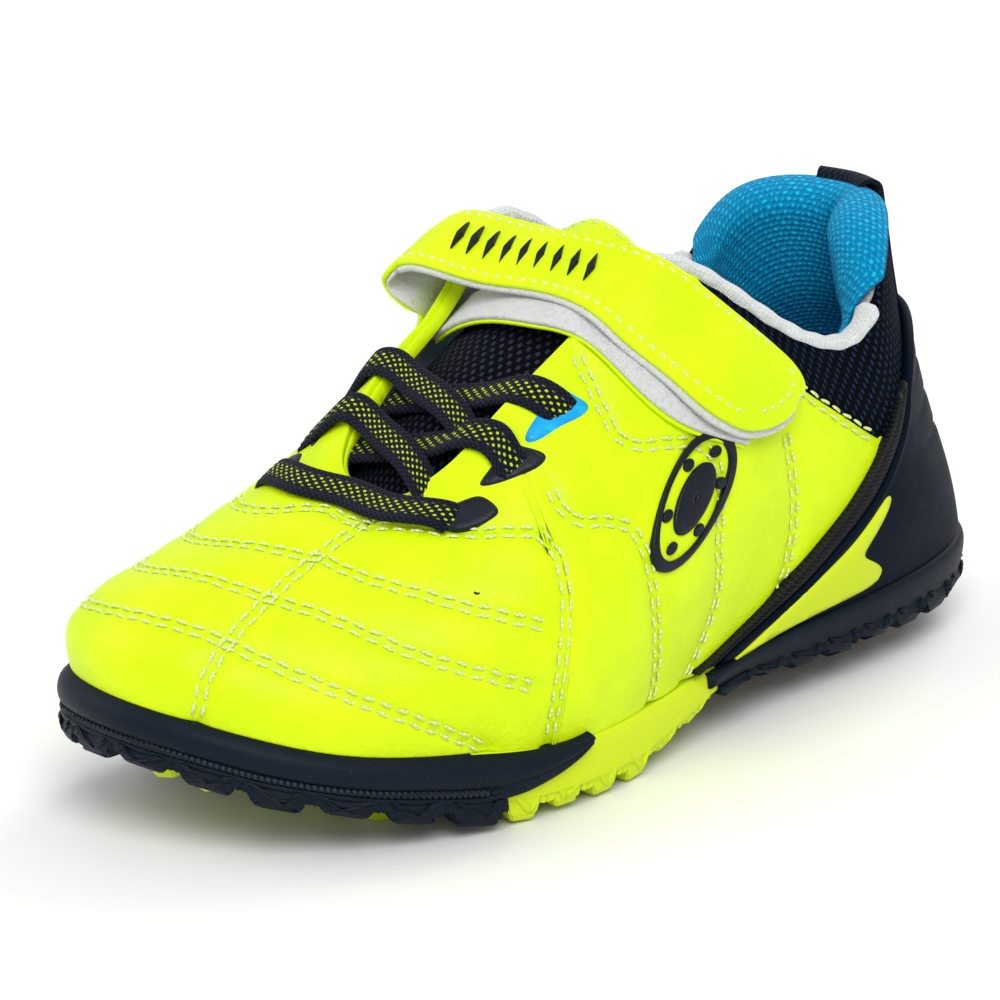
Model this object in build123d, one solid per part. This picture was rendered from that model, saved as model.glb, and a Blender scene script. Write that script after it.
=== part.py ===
from build123d import *
import math
import os
import numpy as np

# Child's turf football shoe, left foot, in millimetres.
# Toe toward -Y, outer (lateral) side toward +X, +Z up, origin on the ground below the middle of the shoe.

# Layer thicknesses, measured inward from the outer face of the upper
panel_skin = 1.3
stiffener_in = (-1.5, -2.1)
lining_in = (-2.5, -3.2)
collar_lining_in = (-6.4, -7.1)
layer_gap = 0.3

# Sole
rim_margin = 2.6            # the rubber stands this far outside the upper
board_margin = -4.4         # the lasting board lies this far inside it
insole_margin = -4.8
stud_height = 5.0
board_thickness = 1.4
insole_thickness = 3.0
sole_split_front = -34.0    # navy forefoot rubber ends here
sole_split_heel = 14.0      # navy heel rubber starts here

# Tongue, strap and laces
mesh_skin = 1.2
tongue_foam_in = (-1.3, -4.2)
tongue_lining_in = (-4.4, -5.1)
strap_lift = 4.7            # outer face of the closed strap above the upper
strap_face_in = (0.0, -1.0)
strap_lining_in = (-1.05, -1.65)
hook_in = (-1.7, -2.2)
lace_width = 7.0
lace_thickness = 1.4

# The outer face of the upper: five rings from the featherline up to the topline.
# Each ring runs from the toe tip along the outer side to the heel (station 10) and back along the inner side.
rings = [
    [(-11.5, -98.5, 27), (8.5, -92, 24), (24.5, -76, 18.5), (33.5, -54, 15), (37.5, -33, 12.5),
     (34.5, -9, 12.5), (29.5, 17, 14), (27.5, 40, 15), (26, 65, 16), (18.5, 89.5, 17),
     (0.5, 98, 17.5), (-17.5, 89.5, 17), (-25, 65, 16), (-26.5, 40, 15), (-28.5, 16, 14),
     (-33.5, -10, 13.5), (-37.5, -35, 15), (-39, -59, 18), (-33.5, -87.5, 25)],
    [(-10.5, -96, 38), (8.5, -89, 34), (24.5, -73, 30), (36, -52, 28), (40.5, -32, 27),
     (38.5, -8, 29), (33.5, 17, 33), (31.5, 39.5, 30), (29.5, 63.5, 29), (19.5, 85.5, 30),
     (0.5, 96, 30), (-18.5, 85.5, 30), (-28.5, 63.5, 29), (-30.5, 39.5, 30), (-32.5, 17, 33),
     (-37.5, -9, 30), (-40.5, -34, 30), (-40.5, -57, 32), (-33.5, -86, 36)],
    [(-7.5, -81, 45.5), (6.5, -76, 42.5), (18.5, -64, 41.5), (32.5, -46, 41.5), (37.5, -29, 43),
     (36, -6, 48), (34.5, 16, 52), (32, 38.5, 45.5), (30, 61, 42), (18, 80.5, 46),
     (0.5, 91.5, 47), (-17, 80.5, 46), (-29, 61, 42), (-31, 38.5, 45.5), (-33.5, 15, 52),
     (-36.5, -8, 48), (-38, -31, 44.5), (-35.5, -53, 43.5), (-25.5, -71.5, 44)],
    [(-4.5, -62, 50.5), (4.5, -59, 49), (12.5, -52, 50), (22.5, -40, 53), (26.5, -26, 59),
     (26.5, -4, 67), (28.5, 16, 71), (29.5, 37.5, 60), (29, 59, 55), (18, 75.5, 64),
     (0.5, 86.5, 66), (-17, 75.5, 64), (-28, 59, 55), (-28.5, 37.5, 60), (-30.5, 14, 71),
     (-30.5, -6, 65.5), (-28.5, -28, 58), (-23.5, -46, 53.5), (-15.5, -58, 51)],
    [(-3.5, -44, 55), (4.5, -43, 55), (9.5, -39.5, 58), (12, -33, 63), (13.5, -22, 71),
     (15, -2, 82.5), (17, 15, 88.5), (24.5, 36, 72.5), (26, 57, 66.5), (19.5, 70, 82.5),
     (1, 81.5, 85.5), (-18.5, 70, 83), (-25, 57, 67.5), (-24.5, 36, 74), (-25.5, 13, 89.5),
     (-22, -5, 79.5), (-16.5, -25, 71), (-12, -39, 62.5), (-8.5, -43.5, 57)],
]
station_count = len(rings[0])
ring_count = len(rings)
seam_outer = 3.72           # vamp to outer quarter
seam_inner = 15.3           # inner quarter to vamp
collar_front = 6.15         # the collar mesh starts here on the outer side
collar_back = 13.85         # and ends here on the inner side


def closed_spline_matrix(count):
    """Turns points round a closed ring into cubic B-spline control points."""
    matrix = np.zeros((count, count))
    for i in range(count):
        matrix[i, i] += 4 / 6
        matrix[i, (i + 1) % count] += 1 / 6
        matrix[i, (i - 1) % count] += 1 / 6
    return np.linalg.inv(matrix)


def open_spline_matrix(count):
    """The same for an open row of points, with relaxed ends."""
    matrix = np.zeros((count + 2, count + 2))
    matrix[0, :3] = (1, -2, 1)
    matrix[-1, -3:] = (1, -2, 1)
    for i in range(count):
        matrix[i + 1, i:i + 3] = (1 / 6, 4 / 6, 1 / 6)
    return np.linalg.inv(matrix)


def basis(u):
    return np.array([(1 - u) ** 3, 3 * u ** 3 - 6 * u ** 2 + 4, -3 * u ** 3 + 3 * u ** 2 + 3 * u + 1, u ** 3]) / 6


def open_controls(points):
    """Control points of an open cubic row, along the first axis of an array."""
    points = np.array(points, float)
    padded = np.zeros((points.shape[0] + 2,) + points.shape[1:])
    padded[1:-1] = points
    return np.tensordot(open_spline_matrix(points.shape[0]), padded, axes=(1, 0))


ring_array = np.array(rings, float)
upper_controls = open_controls(np.einsum("ij,mjk->mik", closed_spline_matrix(station_count), ring_array))


def upper(t, h):
    """A point on the outer face of the upper at station t and ring height h."""
    i = math.floor(t)
    j = min(max(math.floor(h), 0), ring_count - 2)
    across = basis(t - i)
    along = basis(h - j)
    point = np.zeros(3)
    for b in range(4):
        for a in range(4):
            point += along[b] * across[a] * upper_controls[j + b, (i + a - 1) % station_count]
    return point


def grid_surface(rows):
    """A smooth surface through rows of points; u runs along a row and v across the rows, both from 0 to 1."""
    controls = open_controls(np.array(rows, float))
    controls = np.swapaxes(open_controls(np.swapaxes(controls, 0, 1)), 0, 1)
    row_count = len(rows)
    column_count = len(rows[0])

    def surface(u, v):
        x = u * (column_count - 1)
        y = v * (row_count - 1)
        i = min(max(math.floor(x), 0), column_count - 2)
        j = min(max(math.floor(y), 0), row_count - 2)
        return np.einsum("b,a,bak->k", basis(y - j), basis(x - i), controls[j:j + 4, i:i + 4])

    return surface


def normal(surface, u, v):
    step = 0.004
    along = surface(u + step, v) - surface(u - step, v)
    across = surface(u, v + step) - surface(u, v - step)
    cross = np.cross(along, across)
    return cross / np.linalg.norm(cross)


def raised(t, h, lift):
    """A point above the upper, along its normal."""
    return upper(t, h) + normal(upper, t, h) * lift


def sheet_solid(surface, outer, inner, columns, rows):
    """A closed solid between two offsets of a surface over u and v from 0 to 1."""
    grids = []
    for level in (outer, inner):
        grid = []
        for i in range(columns + 1):
            line = []
            for j in range(rows + 1):
                u = i / columns
                v = j / rows
                depth = level(u, v) if callable(level) else level
                line.append(Vector(*(surface(u, v) + normal(surface, u, v) * depth)))
            grid.append(line)
        grids.append(grid)
    top, bottom = [Face.make_surface_from_array_of_points(grid) for grid in grids]
    sides = []
    for pick in (lambda g: g[0], lambda g: g[-1], lambda g: [c[0] for c in g], lambda g: [c[-1] for c in g]):
        edges = [matching_edge(face, pick(grid)) for face, grid in zip((top, bottom), grids)]
        sides.append(Face.make_surface_from_curves(edges[0], edges[1]))
    return Solid(Shell([top, bottom] + sides))


def matching_edge(face, points):
    """The edge of a face that runs through the middle of a row of points, pointing the same way."""
    middle = points[len(points) // 2]
    edge = min(face.edges(), key=lambda e: e.distance_to(Vertex(*middle)))
    start = edge.position_at(0)
    if (start - points[0]).length > (start - points[-1]).length:
        edge = edge.reversed(reconstruct=True)
    return edge


def level_line(pairs):
    """A height that follows given (station, height) pairs, straight between them."""
    stations = [p[0] for p in pairs]
    heights = [p[1] for p in pairs]
    return lambda t: float(np.interp(t, stations, heights))


def mirrored(pairs):
    """Repeats a lateral line on the inner side of the heel, where station 10 is the middle."""
    return pairs + [(20 - t, h) for t, h in reversed(pairs[:-1])]


def patch(t0, t1, low, high):
    """A piece of the upper between two stations and two heights, as a surface over 0 to 1."""
    def surface(u, v):
        t = t0 + (t1 - t0) * u
        bottom = low(t) if callable(low) else low
        top = high(t) if callable(high) else high
        return upper(t, bottom + (top - bottom) * v)
    return surface


quarter_top = level_line(mirrored([(collar_front, 3.97), (6.3, 3.62), (6.6, 3.37), (7.1, 3.08), (7.46, 2.82),
                                   (7.9, 2.37), (8.5, 2.0), (10, 1.7)]))
cup_top = level_line(mirrored([(5.8, 0.12), (6.23, 0.25), (6.74, 0.55), (7.14, 1.0), (7.48, 1.45),
                               (7.76, 1.94), (7.94, 2.3), (8.2, 2.75), (8.7, 3.1), (10, 3.25)]))


def quarter_edge(t):
    return 3.97 if t < collar_front or t > collar_back else quarter_top(t)


# ---- upper ----

def vamp_panel():
    return sheet_solid(patch(seam_inner - 19, seam_outer - 0.02, 0.03, 3.97), 0, -panel_skin, 44, 12)


def lateral_quarter():
    return sheet_solid(patch(seam_outer, 9.99, 0.03, quarter_edge), 0, -panel_skin, 40, 10)


def medial_quarter():
    return sheet_solid(patch(10.01, seam_inner - 0.02, 0.03, quarter_edge), 0, -panel_skin, 36, 10)


def collar_mesh():
    bottom = lambda t: quarter_top(t) + 0.02
    return sheet_solid(patch(collar_front + 0.1, collar_back - 0.1, bottom, 3.99), 0, -panel_skin, 48, 8)


def toe_puff():
    return sheet_solid(patch(-2.1, 2.1, 0.05, 1.9), stiffener_in[0], stiffener_in[1], 20, 6)


def heel_counter():
    return sheet_solid(patch(7.0, 13.0, 0.05, 2.2), stiffener_in[0], stiffener_in[1], 30, 6)


def collar_depth(t, h, level):
    """How deep the heel lining lies below the upper: deeper where the collar foam is behind it."""
    swell = min(1, max(0, (h - 2.3) / 0.9)) * min(1, max(0, min(t - 6.62, 13.38 - t) / 0.9))
    swell = swell * swell * (3 - 2 * swell)
    return lining_in[level] + (collar_lining_in[level] - lining_in[level]) * swell


def collar_foam():
    inner = lambda u, v: collar_depth(6.9 + 6.2 * u, 2.55 + 1.4 * v, 0) + 0.35
    return sheet_solid(patch(6.9, 13.1, 2.55, 3.95), -1.5, inner, 44, 10)


def heel_lining():
    outer = lambda u, v: collar_depth(6.62 + 6.76 * u, 0.05 + 3.92 * v, 0)
    inner = lambda u, v: collar_depth(6.62 + 6.76 * u, 0.05 + 3.92 * v, 1)
    return sheet_solid(patch(6.62, 13.38, 0.05, 3.97), outer, inner, 48, 20)


def vamp_lining():
    return sheet_solid(patch(seam_inner - 19, seam_outer - 0.04, 0.05, 3.95), lining_in[0], lining_in[1], 44, 12)


def lateral_lining():
    return sheet_solid(patch(seam_outer, 6.58, 0.05, 3.95), lining_in[0], lining_in[1], 24, 10)


def medial_lining():
    return sheet_solid(patch(13.42, seam_inner - 0.04, 0.05, 3.95), lining_in[0], lining_in[1], 20, 10)


def heel_cup():
    return sheet_solid(patch(5.8, 14.2, 0.02, cup_top), 2.0, layer_gap, 56, 8)


def edge_trim(side):
    """The ridged strip along the slanting front edge of the heel cup."""
    heights = [(0.3, 6.3), (0.55, 6.74), (1.0, 7.14), (1.45, 7.48), (1.94, 7.76), (2.3, 7.94), (2.75, 8.2)]
    front = lambda h: float(np.interp(h, [p[0] for p in heights], [p[1] for p in heights]))

    def surface(u, v):
        h = 0.3 + 2.4 * u
        t = front(h) - 0.06 - 0.2 * (1 - v)
        return upper(t if side > 0 else 20 - t, h + 0.02)

    if side > 0:
        return sheet_solid(surface, -layer_gap, -1.5, 24, 3)
    return sheet_solid(surface, 1.5, layer_gap, 24, 3)


def cup_wedge(side):
    """The bright wedge let into the side of the heel cup."""
    low = level_line([(5.98, 0.05), (7.0, 0.14), (7.41, 0.5), (7.72, 1.3)])
    high = level_line([(5.98, 0.12), (6.86, 0.5), (7.26, 0.92), (7.72, 1.5)])
    if side > 0:
        return sheet_solid(patch(6.0, 7.7, low, high), 2.7, 2.2, 16, 3)
    return sheet_solid(patch(12.3, 14.0, lambda t: low(20 - t), lambda t: high(20 - t)), 2.7, 2.2, 16, 3)


def side_emblem():
    """A generic raised oval on the outer quarter."""
    half = lambda t: 0.5 * math.sqrt(max(0.03, 1 - ((t - 5.32) / 0.6) ** 2))
    middle = lambda t: 1.95 + 0.5 * (t - 5.32)
    return sheet_solid(patch(4.76, 5.88, lambda t: middle(t) - half(t), lambda t: middle(t) + half(t)), 0.7, 0.2, 14, 6)


def eyelet_patches(side):
    """Three thin flags that reinforce the lace slits of one eyestay."""
    corners = [(4.28, 3.30, 0.40, 0.32), (3.70, 3.24, 0.42, 0.34), (2.88, 3.06, 0.52, 0.36)]
    solids = []
    for t, h, width, height in corners:
        t_low = t - width / 2
        t_high = t + width / 2
        if side < 0:
            t_low, t_high = mirror_station(t_high), mirror_station(t_low)
        solids.append(sheet_solid(patch(t_low, t_high, h - height / 2, h + height / 2), 0.5, 0.15, 6, 4))
    return Compound(solids)


def mirror_station(t):
    """The station opposite t in the throat."""
    return float(np.interp(t, [1, 2, 3, 4, 5, 6], [19, 18, 17, 16, 15, 14]))


def pull_tab():
    """Webbing loop folded over the top of the heel, from the outside to the inside."""
    inside = collar_lining_in[1] - 1.2
    over = np.array([0, 0, 2.6])
    rows = []
    for t in (9.73, 10, 10.27):
        rows.append([raised(t, 3.42, 1.0), raised(t, 3.7, 1.0), raised(t, 3.93, 1.0), raised(t, 3.97, -1.6) + over,
                     raised(t, 3.97, -5.0) + over, raised(t, 3.9, inside), raised(t, 3.6, inside)])
    return sheet_solid(grid_surface(rows), 0.5, -0.5, 30, 4)


# ---- sole ----

top_profile = [(-112, 28.2), (-98, 25.6), (-87, 22.0), (-76, 17.6), (-54, 13.9), (-33, 12.0), (-9, 12.0),
               (17, 13.4), (40, 14.4), (65, 15.4), (89, 16.4), (112, 17.0)]
plate_profile = [(-112, 19.5), (-100, 15.6), (-87, 10.8), (-72, 7.4), (-54, 5.6), (-33, stud_height),
                 (-9, stud_height), (40, stud_height), (89, 5.4), (112, 6.4)]


def plan(margin):
    """The outline of the featherline seen from above, moved outward by a margin."""
    points = []
    for k in range(2 * station_count):
        t = k / 2
        here = upper(t, 0)[:2]
        ahead = upper(t + 0.05, 0)[:2] - upper(t - 0.05, 0)[:2]
        outward = np.array([ahead[1], -ahead[0]]) / np.linalg.norm(ahead)
        points.append(tuple(here + outward * margin))
    return make_face(Spline(points, periodic=True))


def band(low, high):
    """A solid across the whole shoe between two side profiles."""
    lower = Spline([(0, y, z) for y, z in low])
    upper_line = Spline([(0, y, z) for y, z in high])
    ends = [Line(lower @ 0, upper_line @ 0), Line(lower @ 1, upper_line @ 1)]
    face = Face(Wire([lower, ends[1], upper_line, ends[0]]))
    return Pos(-60, 0, 0) * extrude(face, amount=120, dir=(1, 0, 0))


def shifted(profile, rise):
    return [(y, z + rise) for y, z in profile]


def slab(margin, low, high):
    """A layer with the shoe's outline between two side profiles."""
    return extrude(plan(margin), amount=60) & band(low, high)


def sole_sides(y):
    """Where the featherline crosses a section: inner and outer x."""
    outer = [upper(k / 8, 0) for k in range(0, 81)]
    inner = [upper(k / 8, 0) for k in range(152, 79, -1)]
    return [float(np.interp(y, [p[1] for p in side], [p[0] for p in side])) for side in (inner, outer)]


def stud_places():
    """Stud centres in rows across the sole, set in from its edge: x, y and size."""
    rows = [(-90, 4, 9), (-76, 4, 10), (-61, 5, 10), (-46, 5, 10), (-26, 4, 10), (-10, 3, 9), (6, 3, 9),
            (26, 3, 10), (42, 3, 10), (58, 3, 10), (74, 3, 10), (89, 2, 9)]
    places = []
    for y, count, size in rows:
        inner, outer = sole_sides(y)
        for k in range(count):
            share = k / (count - 1)
            bow = 8 * share * (1 - share) * (-1 if y < 0 else 1)
            places.append((inner + 3.5 + (outer - inner - 7) * share, y + bow, size))
    return places


def ground(y):
    """Height of the stud bottoms: the toe springs clear of the ground."""
    return max(0.0, float(np.interp(-y, [58, 72, 87, 100], [0, 2.0, 5.6, 10.2])))


def stud(x, y, size):
    """A block stud, narrower at its foot."""
    foot = ground(y)
    depth = float(np.interp(y, [p[0] for p in plate_profile], [p[1] for p in plate_profile])) + 1.5 - foot
    base = Pos(x, y, foot) * RegularPolygon(size / 2 - 0.8, 6)
    return extrude(base, amount=depth, taper=-9)


def sole_piece(front, back):
    """One length of the rubber unit with its studs."""
    length = back - front
    block = Pos(0, (front + back) / 2, 20) * Box(130, length, 60)
    body = slab(rim_margin, plate_profile, top_profile) & block
    if front > 0:
        body -= slab(board_margin - 1.0, shifted(plate_profile, 3.4), top_profile) & block & foam_block(0.0)
    studs = [stud(*place) for place in stud_places() if front < place[1] < back]
    return body.fuse(*studs).solid()


def foam_block(clearance):
    return Pos(0, (sole_split_heel + 4 + 88) / 2, 20) * Box(100, 88 - sole_split_heel - 4 - 2 * clearance, 60)


def heel_foam():
    """Cushioning wedge let into the heel rubber."""
    layer = slab(board_margin - 1.3, shifted(plate_profile, 3.7), shifted(top_profile, -0.3))
    return (layer & foam_block(0.3)).solid()


def lasting_board():
    return slab(board_margin, shifted(top_profile, 0.3), shifted(top_profile, 0.3 + board_thickness)).solid()


def insole():
    low = shifted(top_profile, 0.6 + board_thickness)
    return slab(insole_margin, low, shifted(low, insole_thickness)).solid()


# ---- tongue ----

tongue_rows = [
    [(-15, -46, 45.5), (-8, -45, 47.8), (0, -44, 48.8), (8, -43.5, 48.3), (14, -43, 46)],
    [(-21, -24, 56), (-13, -25, 62), (-2, -26, 65.2), (9, -24, 63), (17, -22, 57)],
    [(-23.5, -6, 63.5), (-15.5, -8, 71), (-3, -10, 74.8), (9, -8, 72), (19.5, -5, 65.5)],
    [(-22, 10, 73), (-15, 8, 79), (-4, 5, 82.5), (9, 7, 80), (18, 10, 74)],
    [(-19, 20, 83), (-12, 21, 87), (-4, 20, 89.5), (5.5, 18, 87.5), (12.5, 17, 84)],
]
tongue_surface = grid_surface(tongue_rows)


def tongue_mesh():
    return sheet_solid(tongue_surface, 0, -mesh_skin, 12, 24)


def tongue_foam():
    inset = lambda u, v: tongue_surface(0.06 + 0.88 * u, 0.04 + 0.93 * v)
    return sheet_solid(inset, tongue_foam_in[0], tongue_foam_in[1], 12, 24)


def tongue_lining():
    return sheet_solid(tongue_surface, tongue_lining_in[0], tongue_lining_in[1], 12, 24)


def tongue_top_patch():
    top = lambda u, v: tongue_surface(0.12 + 0.76 * u, 0.86 + 0.13 * v)
    return sheet_solid(top, 0.9, 0.15, 8, 4)


# ---- strap ----

strap_rows = [
    [(-30, 3, 88.5), (-24, 4, 92.2), (-10, 5, 92.5), (3, 6, 92.5), (15, 9, 91.5),
     raised(5.85, 3.8, strap_lift), raised(6.08, 3.52, strap_lift), raised(6.45, 3.28, strap_lift),
     raised(6.82, 3.08, strap_lift)],
    [(-31, -4, 86), (-24, -3, 89.5), (-10, -3, 89.3), (3, 0, 89), (16, 2, 87.8),
     raised(5.5, 3.66, strap_lift), raised(5.72, 3.28, strap_lift), raised(6.1, 2.98, strap_lift),
     raised(6.62, 2.72, strap_lift)],
    [(-31, -12, 82.5), (-24, -11, 85.5), (-10, -9.5, 84.5), (3, -6.5, 84.8), (17, -6.5, 84),
     raised(5.05, 3.55, strap_lift), raised(5.33, 3.12, strap_lift), raised(5.72, 2.66, strap_lift),
     raised(6.4, 2.38, strap_lift)],
]
strap_surface = grid_surface(strap_rows)


def strap_part(u0, u1, v0, v1):
    return lambda u, v: strap_surface(u0 + (u1 - u0) * u, v0 + (v1 - v0) * v)


def strap_sheet(levels, u0, u1, v0, v1, columns):
    """The strap's rows run front to back with the normal pointing down, so the offsets change sign."""
    return sheet_solid(strap_part(u0, u1, v0, v1), -levels[0], -levels[1], columns, 4)


def strap_face():
    return strap_sheet(strap_face_in, 0, 1, 0, 1, 32)


def strap_lining():
    return strap_sheet(strap_lining_in, 0, 1, 0.03, 0.97, 32)


def hook_tape():
    return strap_sheet(hook_in, 0.72, 0.97, 0.1, 0.9, 12)


def strap_emblem():
    return strap_sheet((0.6, 0.1), 0.16, 0.48, 0.3, 0.72, 12)


underlay_rows = [
    [(-19, 0, 77.5), (-12, 0, 80.8), (-3, 0, 82.8), (6, 1, 84.6), (13, 3, 86.9),
     raised(5.5, 3.8, 1.7), raised(5.75, 3.5, 1.5), raised(6.1, 3.2, 1.4), raised(6.5, 2.95, 1.4)],
    [(-19, -3.5, 74.9), (-12, -3.5, 78.6), (-3, -3.5, 81), (6, -2.5, 82.6), (13, -2, 84.2),
     raised(5.15, 3.68, 1.7), raised(5.4, 3.32, 1.5), raised(5.8, 2.98, 1.4), raised(6.3, 2.7, 1.4)],
    [(-19, -7, 72.6), (-12, -7, 76.2), (-3, -7, 78.9), (6, -7, 80.4), (13, -7, 81.8),
     raised(4.85, 3.55, 1.7), raised(5.1, 3.15, 1.5), raised(5.5, 2.78, 1.4), raised(6.1, 2.5, 1.4)],
]
underlay_surface = grid_surface(underlay_rows)


def strap_underlay():
    """The lower, lined layer of the strap, sewn down at both ends."""
    return sheet_solid(underlay_surface, 0.8, 0.1, 32, 4)


def loop_tape():
    part = lambda u, v: underlay_surface(0.74 + 0.24 * u, 0.08 + 0.84 * v)
    return sheet_solid(part, -0.05, -0.5, 12, 4)


def strap_riser():
    """The strap's fixed inner end, sewn to the outside of the inner quarter below the fold."""
    rows = [
        [raised(14.15, 3.25, 1.5), raised(14.25, 3.6, 1.9), (-32.3, 3, 84.6)],
        [raised(14.5, 3.15, 1.5), raised(14.6, 3.55, 1.9), (-32.8, -4.5, 81.6)],
        [raised(14.85, 3.0, 1.5), raised(15.0, 3.5, 1.9), (-32.8, -12.5, 78.2)],
    ]
    return sheet_solid(grid_surface(rows), 0.4, -0.6, 8, 4)


# ---- laces ----

def lace(points, across):
    """A flat elastic lace along a few points, with the direction of its width."""
    along = np.array(points, float)
    width = np.array(across, float)
    width = width / np.linalg.norm(width) * lace_width / 2
    surface = grid_surface([list(along - width), list(along), list(along + width)])
    return sheet_solid(surface, lace_thickness / 2, -lace_thickness / 2, 20, 4)


lace_runs = {
    "lace_bar": [(-22, -49, 56.6), (-12, -49, 58), (-2, -47, 58.6), (10, -43, 58.2), (20, -40.6, 57.2)],
    "lace_upper_lateral": [raised(4.41, 3.47, 1.7), (15, -19, 75.2), (9, -21.5, 70.2), (1, -24, 67.6),
                           (-6, -26, 66.8), (-12, -28, 65.6)],
    "lace_lower_lateral": [raised(3.68, 3.36, 1.7), (13.5, -30, 67.6), (8, -32, 63.6), (1, -34.5, 61),
                           (-5, -36.5, 59.8), (-10, -38, 59)],
    "lace_upper_medial": [raised(16.0, 3.5, 1.9), (-16.8, -24, 73.4), (-10, -25.6, 71.2), (-1, -27, 69.6),
                          (7, -28, 68.2)],
    "lace_lower_medial": [raised(16.45, 3.3, 1.9), (-13.6, -36, 66.4), (-6, -37, 64), (1, -37.2, 62.8),
                          (6, -37.2, 61.6)],
}


part_makers = {
    "vamp_panel": vamp_panel,
    "lateral_quarter": lateral_quarter,
    "medial_quarter": medial_quarter,
    "collar_mesh": collar_mesh,
    "toe_puff": toe_puff,
    "heel_counter": heel_counter,
    "collar_foam": collar_foam,
    "heel_lining": heel_lining,
    "vamp_lining": vamp_lining,
    "lateral_lining": lateral_lining,
    "medial_lining": medial_lining,
    "heel_cup": heel_cup,
    "lateral_edge_trim": lambda: edge_trim(1),
    "medial_edge_trim": lambda: edge_trim(-1),
    "lateral_cup_wedge": lambda: cup_wedge(1),
    "medial_cup_wedge": lambda: cup_wedge(-1),
    "side_emblem": side_emblem,
    "lateral_eyelet_patches": lambda: eyelet_patches(1),
    "medial_eyelet_patches": lambda: eyelet_patches(-1),
    "pull_tab": pull_tab,
    "outsole_forefoot": lambda: sole_piece(-112, sole_split_front),
    "outsole_midfoot": lambda: sole_piece(sole_split_front, sole_split_heel),
    "outsole_heel": lambda: sole_piece(sole_split_heel, 112),
    "heel_foam": heel_foam,
    "lasting_board": lasting_board,
    "insole": insole,
    "tongue_mesh": tongue_mesh,
    "tongue_foam": tongue_foam,
    "tongue_lining": tongue_lining,
    "tongue_top_patch": tongue_top_patch,
    "strap_face": strap_face,
    "strap_lining": strap_lining,
    "hook_tape": hook_tape,
    "strap_emblem": strap_emblem,
    "strap_underlay": strap_underlay,
    "loop_tape": loop_tape,
    "strap_riser": strap_riser,
}
for lace_name, run in lace_runs.items():
    part_makers[lace_name] = lambda run=run: lace(run, (0, 0.78, 0.62))

os.makedirs("parts", exist_ok=True)
for name, make in part_makers.items():
    export_step(make(), f"parts/{name}.step")
    print(name)
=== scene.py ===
import math
import bpy
import bmesh
import numpy as np
from mathutils import Matrix, Vector, kdtree
from mathutils.geometry import delaunay_2d_cdt


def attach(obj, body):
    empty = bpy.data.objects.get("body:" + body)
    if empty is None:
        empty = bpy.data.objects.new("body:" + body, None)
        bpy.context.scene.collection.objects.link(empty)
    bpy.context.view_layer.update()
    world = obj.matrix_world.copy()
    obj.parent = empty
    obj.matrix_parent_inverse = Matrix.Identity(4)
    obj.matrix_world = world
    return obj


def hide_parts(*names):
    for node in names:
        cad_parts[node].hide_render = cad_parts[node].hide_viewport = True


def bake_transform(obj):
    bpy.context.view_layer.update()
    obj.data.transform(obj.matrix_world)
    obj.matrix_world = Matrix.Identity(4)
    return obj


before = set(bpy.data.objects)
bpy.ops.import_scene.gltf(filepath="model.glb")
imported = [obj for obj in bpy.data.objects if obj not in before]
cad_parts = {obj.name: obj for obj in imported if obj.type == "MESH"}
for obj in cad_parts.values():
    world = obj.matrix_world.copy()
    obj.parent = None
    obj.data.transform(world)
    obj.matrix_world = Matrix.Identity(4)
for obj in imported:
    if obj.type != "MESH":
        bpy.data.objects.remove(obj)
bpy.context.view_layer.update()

mm = 0.001      # the tables below are in millimetres, and meshes are made in metres


# ---- camera, floor and lights ----

viewpoint = dict(place=(0.80193, -0.78749, 0.42243), target=(-0.01571, 0.0021, 0.03769), roll=-1.1,
                 lens=231.1)


def makeCamera():
    data = bpy.data.cameras.new("camera")
    data.lens = viewpoint["lens"]
    data.sensor_width = 36
    data.clip_start, data.clip_end = 0.05, 20
    camera = bpy.data.objects.new("camera", data)
    place = Vector(viewpoint["place"])
    forward = (Vector(viewpoint["target"]) - place).normalized()
    right = forward.cross(Vector((0, 0, 1))).normalized()
    up = right.cross(forward)
    roll = math.radians(viewpoint["roll"])
    sideways = right * math.cos(roll) + up * math.sin(roll)
    upward = up * math.cos(roll) - right * math.sin(roll)
    turn = Matrix((sideways, upward, -forward)).transposed().to_4x4()
    camera.matrix_world = Matrix.Translation(place) @ turn
    bpy.context.scene.collection.objects.link(camera)
    bpy.context.scene.camera = camera


makeCamera()
print("camera ready")


# ---- splines and the surface of the upper ----

def splineInverse(count, closed):
    if closed:
        matrix = sum(np.roll(np.eye(count), s, axis=1) * w for s, w in ((0, 4 / 6), (1, 1 / 6), (-1, 1 / 6)))
        return np.linalg.inv(matrix)
    matrix = np.zeros((count + 2, count + 2))
    matrix[0, :3] = matrix[-1, -3:] = (1, -2, 1)
    for i in range(count):
        matrix[i + 1, i:i + 3] = (1 / 6, 4 / 6, 1 / 6)
    return np.linalg.inv(matrix)


def openControls(points):
    points = np.asarray(points, float)
    padded = np.zeros((points.shape[0] + 2,) + points.shape[1:])
    padded[1:-1] = points
    return np.tensordot(splineInverse(points.shape[0], False), padded, axes=(1, 0))


def basis(u):
    return np.stack([(1 - u) ** 3, 3 * u ** 3 - 6 * u ** 2 + 4, -3 * u ** 3 + 3 * u ** 2 + 3 * u + 1,
                     u ** 3], -1) / 6


def curve(points, share):       # a smooth line through a few points, read at shares from 0 to 1
    controls = openControls(points)
    last = len(points) - 1
    x = np.clip(np.asarray(share, float), 0, 1) * last
    i = np.minimum(np.floor(x).astype(int), last - 1)
    weight = basis(x - i)
    return sum(weight[..., k, None] * controls[i + k] for k in range(4))


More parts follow.
